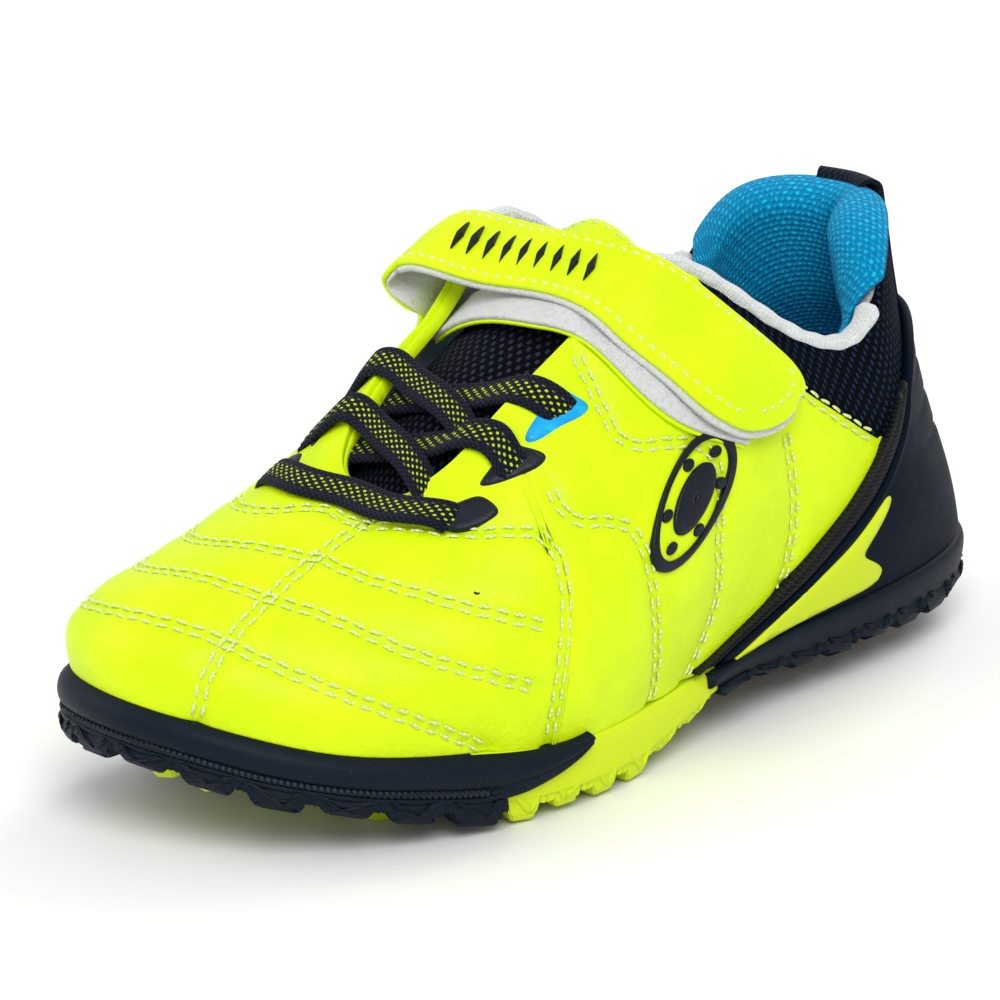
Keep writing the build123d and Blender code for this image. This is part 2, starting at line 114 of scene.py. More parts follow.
# Five rings from the featherline to the topline, each from the toe tip by the outer side to the heel and back
rings = [
    [(-11.5, -98.5, 27), (8.5, -92, 24), (24.5, -76, 18.5), (33.5, -54, 15), (37.5, -33, 12.5),
     (34.5, -9, 12.5), (29.5, 17, 14), (27.5, 40, 15), (26, 65, 16), (18.5, 89.5, 17),
     (0.5, 98, 17.5), (-17.5, 89.5, 17), (-25, 65, 16), (-26.5, 40, 15), (-28.5, 16, 14),
     (-33.5, -10, 13.5), (-37.5, -35, 15), (-39, -59, 18), (-33.5, -87.5, 25)],
    [(-10.5, -96, 38), (8.5, -89, 34), (24.5, -73, 30), (36, -52, 28), (40.5, -32, 27),
     (38.5, -8, 29), (33.5, 17, 33), (31.5, 39.5, 30), (29.5, 63.5, 29), (19.5, 85.5, 30),
     (0.5, 96, 30), (-18.5, 85.5, 30), (-28.5, 63.5, 29), (-30.5, 39.5, 30), (-32.5, 17, 33),
     (-37.5, -9, 30), (-40.5, -34, 30), (-40.5, -57, 32), (-33.5, -86, 36)],
    [(-7.5, -81, 45.5), (6.5, -76, 42.5), (18.5, -64, 41.5), (32.5, -46, 41.5), (37.5, -29, 43),
     (36, -6, 48), (34.5, 16, 52), (32, 38.5, 45.5), (30, 61, 42), (18, 80.5, 46),
     (0.5, 91.5, 47), (-17, 80.5, 46), (-29, 61, 42), (-31, 38.5, 45.5), (-33.5, 15, 52),
     (-36.5, -8, 48), (-38, -31, 44.5), (-35.5, -53, 43.5), (-25.5, -71.5, 44)],
    [(-4.5, -62, 50.5), (4.5, -59, 49), (12.5, -52, 50), (22.5, -40, 53), (26.5, -26, 59),
     (26.5, -4, 67), (28.5, 16, 71), (29.5, 37.5, 60), (29, 59, 55), (18, 75.5, 64),
     (0.5, 86.5, 66), (-17, 75.5, 64), (-28, 59, 55), (-28.5, 37.5, 60), (-30.5, 14, 71),
     (-30.5, -6, 65.5), (-28.5, -28, 58), (-23.5, -46, 53.5), (-15.5, -58, 51)],
    [(-3.5, -44, 55), (4.5, -43, 55), (9.5, -39.5, 58), (12, -33, 63), (13.5, -22, 71),
     (15, -2, 82.5), (17, 15, 88.5), (24.5, 36, 72.5), (26, 57, 66.5), (19.5, 70, 82.5),
     (1, 81.5, 85.5), (-18.5, 70, 83), (-25, 57, 67.5), (-24.5, 36, 74), (-25.5, 13, 89.5),
     (-22, -5, 79.5), (-16.5, -25, 71), (-12, -39, 62.5), (-8.5, -43.5, 57)],
]
stationCount = len(rings[0])
ringControls = openControls(np.einsum("ij,mjk->mik", splineInverse(stationCount, True),
                                      np.array(rings, float)))


def upper(t, h):        # a point of the upper's outer face at station t and ring height h
    t, h = np.broadcast_arrays(np.asarray(t, float), np.asarray(h, float))
    i = np.floor(t).astype(int)
    j = np.clip(np.floor(h).astype(int), 0, len(rings) - 2)
    across, along = basis(t - i), basis(h - j)
    point = 0
    for b in range(4):
        for a in range(4):
            weight = (along[..., b] * across[..., a])[..., None]
            point = point + weight * ringControls[j + b, (i + a - 1) % stationCount]
    return point


def gridSurface(rows):      # a smooth surface through rows of points, read at u along and v across, 0 to 1
    controls = openControls(rows)
    controls = np.swapaxes(openControls(np.swapaxes(controls, 0, 1)), 0, 1)
    columns, lines = len(rows[0]) - 1, len(rows) - 1

    def read(u, v):
        u, v = np.broadcast_arrays(np.asarray(u, float), np.asarray(v, float))
        i = np.clip(np.floor(u * columns).astype(int), 0, columns - 1)
        j = np.clip(np.floor(v * lines).astype(int), 0, lines - 1)
        across, along = basis(u * columns - i), basis(v * lines - j)
        point = 0
        for b in range(4):
            for a in range(4):
                point = point + (along[..., b] * across[..., a])[..., None] * controls[j + b, i + a]
        return point
    return read


def facing(surface, u, v, step=0.004):
    cross = np.cross(surface(u + step, v) - surface(u - step, v), surface(u, v + step) - surface(u, v - step))
    return cross / (np.linalg.norm(cross, axis=-1, keepdims=True) + 1e-9)


def raised(t, h, lift):
    return upper(t, h) + facing(upper, t, h) * np.asarray(lift, float)[..., None]


def smoothLine(pairs, count=60):    # the same with a rounded course
    line = curve(np.array(pairs, float), np.linspace(0, 1, count))
    return lambda t: np.interp(t, line[:, 0], line[:, 1])


def mirrored(pairs):        # repeats an outer line on the inner side of the heel, past station 10
    return list(pairs) + [(20 - t, h) for t, h in reversed(pairs[:-1])]


def mirrorStation(t):       # the station opposite t, at the throat and the heel
    return np.interp(t, [0.5, 1, 2, 3, 4, 5, 6, 10], [19.5, 19, 18, 17, 16, 15, 14, 10])


# ---- mesh makers ----

def makePiece(name, verts, faces, material, cloth=None, smooth=True, tidy=True):
    mesh = bpy.data.meshes.new(name)
    mesh.from_pydata((np.asarray(verts, float) * mm).tolist(), [], faces)
    if cloth is not None:
        attribute = mesh.attributes.new("cloth", "FLOAT_VECTOR", "POINT")
        attribute.data.foreach_set("vector", np.asarray(cloth, np.float32).ravel())
    if tidy:
        work = bmesh.new()
        work.from_mesh(mesh)
        bmesh.ops.recalc_face_normals(work, faces=work.faces)
        work.to_mesh(mesh)
        work.free()
    mesh.polygons.foreach_set("use_smooth", [smooth] * len(mesh.polygons))
    mesh.materials.append(material)
    piece = bpy.data.objects.new(name, mesh)
    bpy.context.scene.collection.objects.link(piece)
    return piece


def lengths(points, axis):      # distance run along one axis of a grid of points
    steps = np.linalg.norm(np.diff(points, axis=axis), axis=-1)
    pad = [(1, 0) if k == axis else (0, 0) for k in range(2)]
    return np.pad(np.cumsum(steps, axis=axis), pad)


def edgeDistance(points, ends=(True, True)):       # how far each grid point is from the sheet's own edge
    down = lengths(points, 1)
    gap = np.minimum(down, down[:, -1:] - down)
    along = lengths(points, 0)
    for wanted, distance in zip(ends, (along, along[-1:] - along)):
        if wanted:
            gap = np.minimum(gap, distance)
    return gap


def rolledEdge(points, radius, ends=(True, True)):         # drop that rounds off a sheet's edge
    share = np.clip(1 - edgeDistance(points, ends) / radius, 0, 1)
    return radius * (1 - np.sqrt(np.clip(1 - share ** 2, 0, 1)))


def finePlaces(count, length, edge):        # shares from 0 to 1 with extra lines close to both ends
    near = np.array([0, 0.12, 0.35, 0.65, 1.0]) * edge / length
    return np.unique(np.concatenate([near, np.linspace(edge * 1.6 / length, 1 - edge * 1.6 / length, count),
                                     1 - near]))


def gridFaces(nu, nv, start, flip, wrap=False):
    i, j = np.meshgrid(np.arange(nu if wrap else nu - 1), np.arange(nv - 1), indexing="ij")
    a = i * nv + j
    b = ((i + 1) % nu) * nv + j
    quads = np.stack([a, b, b + 1, a + 1], -1).reshape(-1, 4) + start
    return (quads[:, ::-1] if flip else quads).tolist()


def clothCoordinates(points):
    along = lengths(points, 0)
    middle = along[:, along.shape[1] // 2][:, None]
    return np.stack([np.broadcast_to(middle, along.shape), lengths(points, 1), np.zeros(along.shape)],
                    -1) * mm


def sheetPiece(name, outer, inner, material, wrap=False):       # a closed sheet between two grids of points
    nu, nv = outer.shape[:2]
    verts = np.concatenate([outer.reshape(-1, 3), inner.reshape(-1, 3)])
    cloth = clothCoordinates(outer).reshape(-1, 3)
    shift = nu * nv
    faces = gridFaces(nu, nv, 0, False, wrap) + gridFaces(nu, nv, shift, True, wrap)
    rims = [[i * nv for i in range(nu)], [i * nv + nv - 1 for i in range(nu)]]
    if wrap:
        rims = [rim + rim[:1] for rim in rims]
    else:
        rims += [list(range(nv)), list(range((nu - 1) * nv, nu * nv))]
    for rim in rims:
        faces += [(a, b, b + shift, a + shift) for a, b in zip(rim, rim[1:])]
    return makePiece(name, verts, faces, material, np.concatenate([cloth, cloth]))


def surfaceSheet(name, surface, us, vs, top, bottom, material, roll=0.5, relief=None, ends=(True, True)):
    u, v = np.meshgrid(us, vs, indexing="ij")
    points, normals = surface(u, v), facing(surface, u, v)
    sign = 1 if top > bottom else -1
    rise = top - sign * rolledEdge(points, min(roll, abs(top - bottom)), ends)
    if relief is not None:
        rise = rise + relief(points, u, v)
    return sheetPiece(name, points + normals * rise[..., None], points + normals * bottom, material)


def patch(t0, t1, low, high):
    def surface(u, v):
        t = t0 + (t1 - t0) * u
        bottom = low(t) if callable(low) else low
        top = high(t) if callable(high) else high
        return upper(t, bottom + (top - bottom) * v)
    return surface


# a closed round strip along points
def tubePiece(name, path, radius, material, sides=12, flatten=1.0, upward=(0, 0, 1)):
    path = np.asarray(path, float)
    radius = np.broadcast_to(np.asarray(radius, float), (len(path),))
    along = np.gradient(path, axis=0)
    along /= np.linalg.norm(along, axis=1, keepdims=True)
    side = np.cross(along, np.asarray(upward, float))
    side /= np.linalg.norm(side, axis=1, keepdims=True)
    up = np.cross(side, along)
    angle = np.linspace(0, 2 * math.pi, sides, endpoint=False)
    ring = (side[:, None] * np.cos(angle)[None, :, None] + up[:, None] * np.sin(angle)[None, :,
                                        None] * flatten)
    points = path[:, None] + ring * radius[:, None, None]
    count = len(path)
    run = np.concatenate([[0], np.cumsum(np.linalg.norm(np.diff(path, axis=0), axis=1))])
    across = (np.cos(angle)[None] * radius[:, None]).ravel()
    cloth = np.stack([np.repeat(run, sides), across, np.zeros(count * sides)], -1) * mm
    verts = np.concatenate([points.reshape(-1, 3), path[:1], path[-1:]])
    faces = []
    for i in range(count - 1):
        for k in range(sides):
            n = (k + 1) % sides
            faces.append((i * sides + k, i * sides + n, (i + 1) * sides + n, (i + 1) * sides + k))
    for k in range(sides):
        n = (k + 1) % sides
        faces.append((count * sides, n, k))
        faces.append((count * sides + 1, (count - 1) * sides + k, (count - 1) * sides + n))
    return makePiece(name, verts, faces, material, np.concatenate([cloth, cloth[:1], cloth[-1:]]))


print("makers ready")


# ---- shading ----

def tone(red, green, blue):     # a colour as a screen shows it, made linear
    return tuple(((c / 255 + 0.055) / 1.055) ** 2.4 if c > 10 else c / 255 / 12.92 for c in (red, green,
                                        blue)) + (1,)


class Wire:     # a node's output that takes part in sums
    def __init__(self, finish, socket):
        self.finish, self.socket = finish, socket

    def join(self, operation, first, second=0.0):
        return self.finish.node("Math", dict(operation=operation), {0: first, 1: second})

    def __add__(self, other):
        return self.join("ADD", self, other)

    def __sub__(self, other):
        return self.join("SUBTRACT", self, other)

    def __rsub__(self, other):
        return self.join("SUBTRACT", other, self)

    def __mul__(self, other):
        return self.join("MULTIPLY", self, other)

    def __truediv__(self, other):
        return self.join("DIVIDE", self, other)

    def __pow__(self, other):
        return self.join("POWER", self, other)

    __radd__, __rmul__ = __add__, __mul__

    def sine(self):
        return self.join("SINE", self)

    def size(self):
        return self.join("ABSOLUTE", self)

    def larger(self, other):
        return self.join("MAXIMUM", self, other)

    def ease(self, low, high):      # 0 below low, 1 above high
        return self.finish.node("MapRange", dict(interpolation_type="SMOOTHSTEP"),
                                {"Value": self, "From Min": low, "From Max": high})


class Finish:
    def __init__(self, name, **fixed):
        self.material = bpy.data.materials.new(name)
        self.material.use_nodes = True
        self.tree = self.material.node_tree
        self.tree.nodes.clear()
        self.shader = self.tree.nodes.new("ShaderNodeBsdfPrincipled")
        end = self.tree.nodes.new("ShaderNodeOutputMaterial")
        self.tree.links.new(self.shader.outputs[0], end.inputs["Surface"])
        for socket, value in fixed.items():
            self.shader.inputs[socket.replace("_", " ")].default_value = value

    def node(self, kind, settings, inputs, out=0):
        made = self.tree.nodes.new("ShaderNode" + kind)
        for key, value in settings.items():
            setattr(made, key, value)
        for key, value in inputs.items():
            if isinstance(value, Wire):
                self.tree.links.new(value.socket, made.inputs[key])
            else:
                made.inputs[key].default_value = value
        return Wire(self, made.outputs[out])

    def place(self):
        return self.node("TexCoord", {}, {}, "Object")

    def cloth(self):        # metres along and across the cloth
        parts = self.node("SeparateXYZ", {},
                          {0: self.node("Attribute", dict(attribute_name="cloth"), {}, "Vector")})
        node = parts.socket.node
        return Wire(self, node.outputs[0]), Wire(self, node.outputs[1])

    def mix(self, share, first, second):
        return self.node("Mix", dict(data_type="RGBA"), {0: share, 6: first, 7: second}, 2)

    def noise(self, size, detail=3.0, rough=0.55, stretch=(1, 1, 1)):
        spot = self.node("VectorMath", dict(operation="MULTIPLY"), {0: self.place(), 1: stretch})
        return self.node("TexNoise", {},
                         {"Vector": spot, "Scale": 1 / size, "Detail": detail, "Roughness": rough})

    def cells(self, size, feature="F1", out="Distance", smooth=None):
        spread = {"Vector": self.place(), "Scale": 1 / size}
        return self.node("TexVoronoi", dict(feature=feature), spread, out)

    def ribs(self, along, pitch):
        return (along * (2 * math.pi / pitch)).sine()

    def weave(self, pitchU, pitchV):        # plain weave, 0 in the gaps and 1 on the yarns
        u, v = self.cloth()
        over = self.ribs(u, pitchU * 2) * self.ribs(v, pitchV * 2)
        return (over * 0.5 + 0.5) * self.ribs(u, pitchU).size().larger(self.ribs(v, pitchV).size())

    def finish(self, colour, roughness=0.5, height=None, depth=0.0001):
        for socket, value in (("Base Color", colour), ("Roughness", roughness)):
            if isinstance(value, Wire):
                self.tree.links.new(value.socket, self.shader.inputs[socket])
            else:
                self.shader.inputs[socket].default_value = value
        if height is not None:
            bump = self.node("Bump", {}, {"Height": height, "Distance": depth, "Strength": 1.0})
            self.tree.links.new(bump.socket, self.shader.inputs["Normal"])
        return self.material


colours = dict(neon=(216, 244, 4), neonDeep=(204, 234, 0), neonPale=(224, 248, 34), neonSole=(206, 226, 34),
               rubber=(9, 20, 33), rubberPale=(44, 56, 72), cup=(6, 17, 31), cupPale=(20, 36, 54),
               blue=(0, 136, 190), bluePale=(24, 208, 246), patchBlue=(2, 158, 226), mesh=(7, 9, 13),
               meshDeep=(34, 56, 92), tongue=(54, 62, 92), tongueDeep=(8, 10, 15), white=(246, 248, 247),
               whiteDeep=(216, 220, 219), lace=(32, 38, 58), laceDeep=(8, 10, 18), fleece=(253, 254, 253),
                   fleeceDeep=(234, 238, 236), thread=(240, 252, 150), threadPale=(250, 255, 196),
               film=(10, 16, 28), black=(7, 8, 10), charcoal=(34, 36, 42), board=(196, 178, 140))
colours = {name: tone(*value) for name, value in colours.items()}


# coated microfibre: faint mottling, fine crinkle, and painted highlights in the pale colour on the raised
# crinkle points
def synthetic(name, base, deep, pale, rough=0.42):
    f = Finish(name, Specular_IOR_Level=0.2)
    blot = f.noise(0.014, 4.0, 0.6)
    fine = f.noise(0.0011, 2.0, 0.6)
    crease = f.cells(0.00085, "SMOOTH_F1")
    colour = f.mix(blot.ease(0.3, 0.72), deep, base)
    # painted highlight: the pale colour follows the fine noise that also raises the crinkle
    colour = f.mix(fine.ease(0.55, 0.8) * 0.45, colour, pale)
    roughness = blot * 0.16 + fine * 0.12 + (rough - 0.12)
    return f.finish(colour, roughness, crease * 0.6 + fine * 0.55 + blot * 1.2, 0.00016)


# moulded rubber: matt skin, faint dust and scuffs
def rubber(name, base, pale, rough=0.52, gleam=0.14):
    f = Finish(name, Specular_IOR_Level=gleam)
    dust = f.noise(0.0007, 2.0, 0.6)
    scuff = f.noise(0.009, 5.0, 0.7)
    grain = f.noise(0.0005, 2.0, 0.5)
    colour = f.mix(dust.ease(0.66, 0.76) * 0.7, base, pale)
    colour = f.mix(scuff.ease(0.55, 0.8) * 0.25, colour, pale)
    return f.finish(colour, scuff * 0.22 + dust * 0.1 + (rough - 0.16), grain * 0.5 + dust * 0.6, 0.00009)


# brushed knit: slanting loops and nap
def knitted(name, base, pale, pitch, rough=0.85, sheen=0.35, depth=0.00035):
    f = Finish(name, Sheen_Weight=sheen, Sheen_Roughness=0.4, Specular_IOR_Level=0.1)
    u, v = f.cloth()
    drift = f.noise(pitch * 2.2, 3.0, 0.6) * (pitch * 0.9)
    wale = f.ribs(u * 0.84 + v * 0.54 + drift, pitch)
    course = f.ribs(v * 0.84 - u * 0.54 - drift, pitch * 0.62)
    nap = f.noise(0.0007, 4.0, 0.8, (1, 0.5, 1))
    shade = f.noise(0.012, 3.0, 0.6)
    loops = wale * course * 0.5 + wale * 0.15 + nap * 0.45
    colour = f.mix(loops.ease(0.2, 0.78), base, pale)
    colour = f.mix(shade.ease(0.35, 0.7) * 0.3, colour, base)
    return f.finish(colour, nap * 0.1 + (rough - 0.05), loops * 0.8 + nap * 0.5, depth)


# spacer mesh with open holes, and flecks where asked
def netting(name, yarn, gap, pitch, fleck=None, sheen=0.25):
    f = Finish(name, Sheen_Weight=sheen, Sheen_Roughness=0.35, Specular_IOR_Level=0.03)
    u, v = f.cloth()
    fuzz = f.noise(0.0006, 3.0, 0.7)
    drift = fuzz * (pitch * 0.12)
    across = f.ribs(u + drift, pitch)
    along = f.ribs(v + drift, pitch * 1.5)
    dash = (across * along).ease(0.16, 0.62)        # staggered short dashes, open to the layer below
    braid = f.ribs(v + across * (pitch * 0.1), pitch * 0.3) * 0.5 + 0.5
    colour = f.mix(dash * (fuzz * 0.8 + 0.3), yarn, gap)
    colour = f.mix(braid * (1 - dash) * 0.35, colour, fleck or yarn)
    return f.finish(colour, fuzz * 0.15 + 0.7, (1 - dash) * 0.9 + braid * 0.25 + fuzz * 0.3, 0.0006)


# woven tape; a fleck line runs in its middle
def webbing(name, base, pale, pitch, fleck=None, middle=0.0):
    f = Finish(name, Sheen_Weight=0.05, Sheen_Roughness=0.3, Specular_IOR_Level=0.12)
    u, v = f.cloth()
    yarn = f.weave(pitch, pitch * 0.8)
    fuzz = f.noise(0.0007, 3.0, 0.7)
    colour = f.mix((yarn * 0.8 + fuzz * 0.35).ease(0.2, 0.9), base, pale)
    if fleck is not None:
        centre = 1 - v.size().ease(middle * 0.75, middle)
        dots = (f.ribs(u, pitch * 3.2) * f.ribs(v, pitch * 2.4)).ease(0.42, 0.62)
        colour = f.mix(dots * centre * 0.85, colour, fleck)
    return f.finish(colour, fuzz * 0.12 + 0.7, yarn * 0.9 + fuzz * 0.3, 0.0003)


def film(name, base, pale, rough=0.34):      # welded film: smooth, slightly uneven gloss
    f = Finish(name, Specular_IOR_Level=0.25)
    blot = f.noise(0.004, 4.0, 0.6)
    grain = f.noise(0.0006, 2.0, 0.5)
    return f.finish(f.mix(blot.ease(0.4, 0.75) * 0.5, base, pale), blot * 0.18 + (rough - 0.08),
                    grain + blot * 0.8, 0.00006)


def fluff(name, base, deep):        # loop tape and fleece
    f = Finish(name, Sheen_Weight=0.15, Sheen_Roughness=0.6, Specular_IOR_Level=0.1)
    tuft = f.cells(0.0011, "SMOOTH_F1")
    nap = f.noise(0.0005, 4.0, 0.8)
    return f.finish(f.mix((nap + tuft * 0.4).ease(0.35, 0.85), deep, base), 0.95, nap * 1.1 + tuft * 0.7,
                    0.0008)


def ridged(name, base, pale, pitch):      # moulded strip with fine cross ridges
    f = Finish(name, Specular_IOR_Level=0.25)
    u, v = f.cloth()
    ridge = f.ribs(u, pitch) * 0.5 + 0.5
    dots = f.noise(0.0008, 3.0, 0.6)
    colour = f.mix((ridge * 0.7 + dots * 0.4).ease(0.5, 0.95) * 0.6, base, pale)
    return f.finish(colour, dots * 0.2 + 0.45, ridge + dots * 0.4, 0.0003)


c = colours
finishes = dict(
    neonUpper=synthetic("neonUpper", c["neon"], c["neonDeep"], c["neonPale"]),
    neonStrap=synthetic("neonStrap", c["neon"], c["neonDeep"], c["neonPale"], 0.36),
    neonRubber=rubber("neonRubber", c["neonSole"], c["neonPale"], 0.46),
    navyRubber=rubber("navyRubber", c["rubber"], c["rubberPale"]),
    cupPlastic=rubber("cupPlastic", c["cup"], c["cupPale"], 0.58, 0.05),
    edgeStrip=ridged("edgeStrip", c["black"], c["charcoal"], 0.0011),
    cord=ridged("ropeCord", c["rubber"], c["rubberPale"], 0.0016),
    blueKnit=knitted("blueKnit", c["blue"], c["bluePale"], 0.0021, 0.85, 0.06, 0.0006),
    whiteKnit=knitted("whiteKnit", c["whiteDeep"], c["white"], 0.0009, 0.8, 0.2, 0.0003),
    collarNet=netting("collarNet", c["mesh"], c["meshDeep"], 0.0021, c["black"], 0.0),
    tongueNet=netting("tongueNet", c["tongueDeep"], c["tongue"], 0.002, c["laceDeep"], 0.03),
    blueFilm=film("blueFilm", c["patchBlue"], c["bluePale"]),
    navyFilm=film("navyFilm", c["film"], c["cupPale"], 0.4),
    laceTape=webbing("laceTape", c["laceDeep"], c["lace"], 0.0006, c["neon"], 0.0019),
    navyTape=webbing("navyTape", c["laceDeep"], c["cupPale"], 0.0008),
    loopFleece=fluff("loopFleece", c["fleece"], c["fleeceDeep"]),
    hookTape=fluff("hookTape", c["charcoal"], c["black"]),
    thread=webbing("thread", c["thread"], c["threadPale"], 0.0005),
    board=fluff("board", c["board"], c["charcoal"]),
)
print("finishes ready")


def fit(piece, body, *nodes, slot=None):       # puts a piece on its body, in place of the named parts
    if nodes:
        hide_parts(*nodes)
    slot or nodes[0]
    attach(piece, body)
    return piece


# ---- stitching and panels of the upper ----

stitching = dict(pitch=3.3, length=2.5, width=0.62, apart=1.75, groove=0.5, puff=0.45, reach=7.0)
edges = dict(outer=3.74, inner=15.3, collarFront=6.15, collarBack=13.85, skin=1.3)
quarterTop = smoothLine(mirrored([(6.15, 3.97), (6.28, 3.67), (6.6, 3.37), (7.1, 3.08), (7.46, 2.82),
                                  (7.9, 2.37),
                                  (8.5, 2.0), (10, 1.7)]), 160)
cupTop = smoothLine(mirrored([(5.75, 0.1), (6.23, 0.25), (6.74, 0.55), (7.14, 1.0), (7.5, 1.45), (7.83, 1.94),
                              (8.08, 2.3), (8.32, 2.6), (8.7, 2.8), (10, 2.85)]), 160)

# Sewn rows as (station, height), the toe ones from the inner side over the toe to the outer side
archRow = [(-3.75, 0.03), (-3.75, 1.5), (-3.45, 1.97), (-2, 2.42), (-0.5, 3.32), (0.5, 3.47), (1.93, 3.27),
           (2.69, 2.97),
           (3.43, 2.71), (3.72, 2.45), (3.78, 2.1), (3.74, 1.5), (3.74, 0.7), (3.75, 0.03)]
toeRows = [
    [(-0.79, 1.14), (0.11, 1.37), (0.79, 1.42), (1.58, 1.15), (2.23, 0.78), (2.7, 0.44), (3.15, 0.08)],
    [(-3.6, 0.95), (-2.4, 1.35), (-1.1, 1.68), (-0.16, 2.03), (0.89, 2.11), (1.7, 1.91), (2.31, 1.53),
     (2.85, 1.23), (3.6, 0.87)],
    [(-3.6, 1.5), (-2.6, 1.8), (-1.45, 2.09), (-0.3, 2.6), (0.66, 2.78), (1.34, 2.71), (2.36, 2.22),
     (2.8, 1.97), (3.56, 1.64)],
    [(0.85, 0.09), (0.88, 1.4), (0.9, 2.4), (1.0, 3.2), (1.35, 3.86)],
]
outerRows = [
    [(3.95, 2.93), (4.11, 2.5), (4.61, 2.14), (4.8, 1.3), (4.94, 0.43), (4.96, 0.03)],
    [(4.66, 3.85), (4.7, 3.15), (4.93, 2.68), (5.61, 2.26), (5.62, 1.49), (5.64, 0.83), (5.38, 0.03)],
    [(6.62, 2.39), (6.64, 1.35), (6.5, 0.36)],
]
topRow = [(6.3, 3.62), (6.66, 3.24), (7.11, 2.96), (7.46, 2.7), (7.8, 2.38)]
innerRows = [[(mirrorStation(t), h) for t, h in row] for row in outerRows + [topRow]]
outerRows.append(topRow)
perforations = [(2.83, 2.45), (3.05, 2.36), (3.26, 2.28), (2.85, 2.15), (3.04, 2.09), (3.24, 2.03)]
toeRows[0] = [(-2.9, 0.1), (-2.2, 0.62)] + toeRows[0]


def rowPoints(surface, row, count=160):
    line = curve(np.array(row, float), np.linspace(0, 1, count))
    return surface(line[:, 0], line[:, 1]), facing(surface, line[:, 0], line[:, 1])


def nearness(rows, surface=upper):      # distance of points from the sewn rows
    points = np.concatenate([rowPoints(surface, row)[0] for row in rows])
    tree = kdtree.KDTree(len(points))
    for i, p in enumerate(points):
        tree.insert(p, i)
    tree.balance()
    return lambda spots: np.array([tree.find(p)[2] for p in spots.reshape(-1, 3)]).reshape(spots.shape[:-1])


def quilting(rows, surface=upper, puff=None, groove=None):
    gap = nearness(rows, surface)
    puff = stitching["puff"] if puff is None else puff
    groove = stitching["groove"] if groove is None else groove

    def relief(points, u, v):
        distance = gap(points)
        swell = np.clip(distance / stitching["reach"], 0, 1)
        return puff * (swell * (2 - swell) - 0.5) - groove * np.exp(-(distance / 1.5) ** 2)
    return relief


# stitches of thread along rows
def sewn(name, rows, surface, lift, material, body, slot, double=True, pitch=None, sign=1):
    pitch = pitch or stitching["pitch"]
    sides = 6
    xs = np.array([-0.5, -0.46, -0.3, 0, 0.3, 0.46, 0.5]) * pitch * stitching["length"] / stitching["pitch"]
    girth = np.array([0.15, 0.6, 0.95, 1.0, 0.95, 0.6, 0.15]) * stitching["width"] / 2
    dip = np.array([-0.32, -0.2, -0.02, 0.06, -0.02, -0.2, -0.32])
    angle = np.linspace(0, 2 * math.pi, sides, endpoint=False)
    shape = np.stack([np.repeat(xs, sides), (girth[:, None] * np.cos(angle)).ravel(),
                      (girth[:, None] * np.sin(angle) * 0.8 + dip[:, None]).ravel()], -1)
    onePatch = gridFaces(len(xs), sides, 0, False)
    onePatch += [(i * sides + sides - 1, (i + 1) * sides + sides - 1, (i + 1) * sides,
                  i * sides) for i in range(len(xs) - 1)]
    onePatch += [tuple(range(sides)), tuple(range(len(shape) - 1, len(shape) - 1 - sides, -1))]
    verts, faces, cloth = [], [], []
    for row in rows:
        points, normals = rowPoints(surface, row)
        normals = normals * sign
        run = np.concatenate([[0], np.cumsum(np.linalg.norm(np.diff(points, axis=0), axis=1))])
        for side in ((-0.5, 0.5) if double else (0,)):
            for k, at in enumerate(np.arange(pitch * 0.6, run[-1] - pitch * 0.4, pitch)):
                p, q, n = [np.array([np.interp(a, run, column) for column in source.T])
                           for a, source in ((at - 0.3, points), (at + 0.3, points), (at, normals))]
                along = (q - p) / np.linalg.norm(q - p)
                sideways = np.cross(n, along)
                slant = along + sideways * (0.1 if k % 2 else -0.1)
                centre = (p + q) / 2 + sideways * side * stitching["apart"] + n * lift
                start = len(verts) * len(shape)
                verts.append(centre + shape[:, :1] * slant + shape[:, 1:2] * sideways + shape[:, 2:] * n)
                cloth.append(shape * mm)
                faces += [tuple(i + start for i in face) for face in onePatch]
    piece = makePiece(name, np.concatenate(verts), faces, material, np.concatenate(cloth))
    return fit(piece, body, slot=slot)


def disc(centre, radii, slant=0.0):     # an oval part of the upper, read round (u) and outward (v)
    def surface(u, v):
        angle = u * 2 * math.pi
        x, y = np.cos(angle) * v * radii[0], np.sin(angle) * v * radii[1]
        return upper(centre[0] + x, centre[1] + y + slant * x)
    return surface


# a raised oval ring or disc
def ovalPiece(name, centre, radii, slant, inner, outer, top, bottom, material, roll=0.3):
    surface = disc(centre, radii, slant)
    u, v = np.meshgrid(np.linspace(0, 1, 72, endpoint=False), np.linspace(inner, outer, 10), indexing="ij")
    points = surface(u, v)
    normals = facing(upper, centre[0] + np.cos(u * 2 * math.pi) * v * radii[0],
                     centre[1] + np.sin(u * 2 * math.pi) * v * radii[1] + slant * np.cos(u * 2 * math.pi) * v * radii[0])
    rise = top - rolledEdge(points, roll, (False, False))
    return sheetPiece(name, points + normals * rise[..., None], points + normals * bottom, material, True)


neonUpper = finishes["neonUpper"]
fineDown = finePlaces(56, 70, 0.9)
stitchLift = -0.1

archTop = smoothLine([(-3.78, 1.98), (-3.45, 2.05), (-2, 2.42), (-0.5, 3.34), (0.5, 3.49), (1.93, 3.29),
                      (2.69, 2.99),
                      (3.43, 2.73), (3.66, 2.57), (3.78, 2.34)], 160)
vampRelief = quilting(toeRows + [archRow])
vamp = surfaceSheet("vampPanel", patch(-3.82, 3.82, 0.03, archTop), finePlaces(190, 200, 0.9), fineDown, 0,
                    -edges["skin"],
                    neonUpper, 0.5, vampRelief)
fit(vamp, "shoe", "vamp_panel")
sewn("toeStitching", toeRows + [archRow], upper, stitchLift, finishes["thread"], "shoe", "vamp_panel")


def quarterHigh(t):
    return np.where((t < edges["collarFront"]) | (t > edges["collarBack"]), 3.99, quarterTop(t))


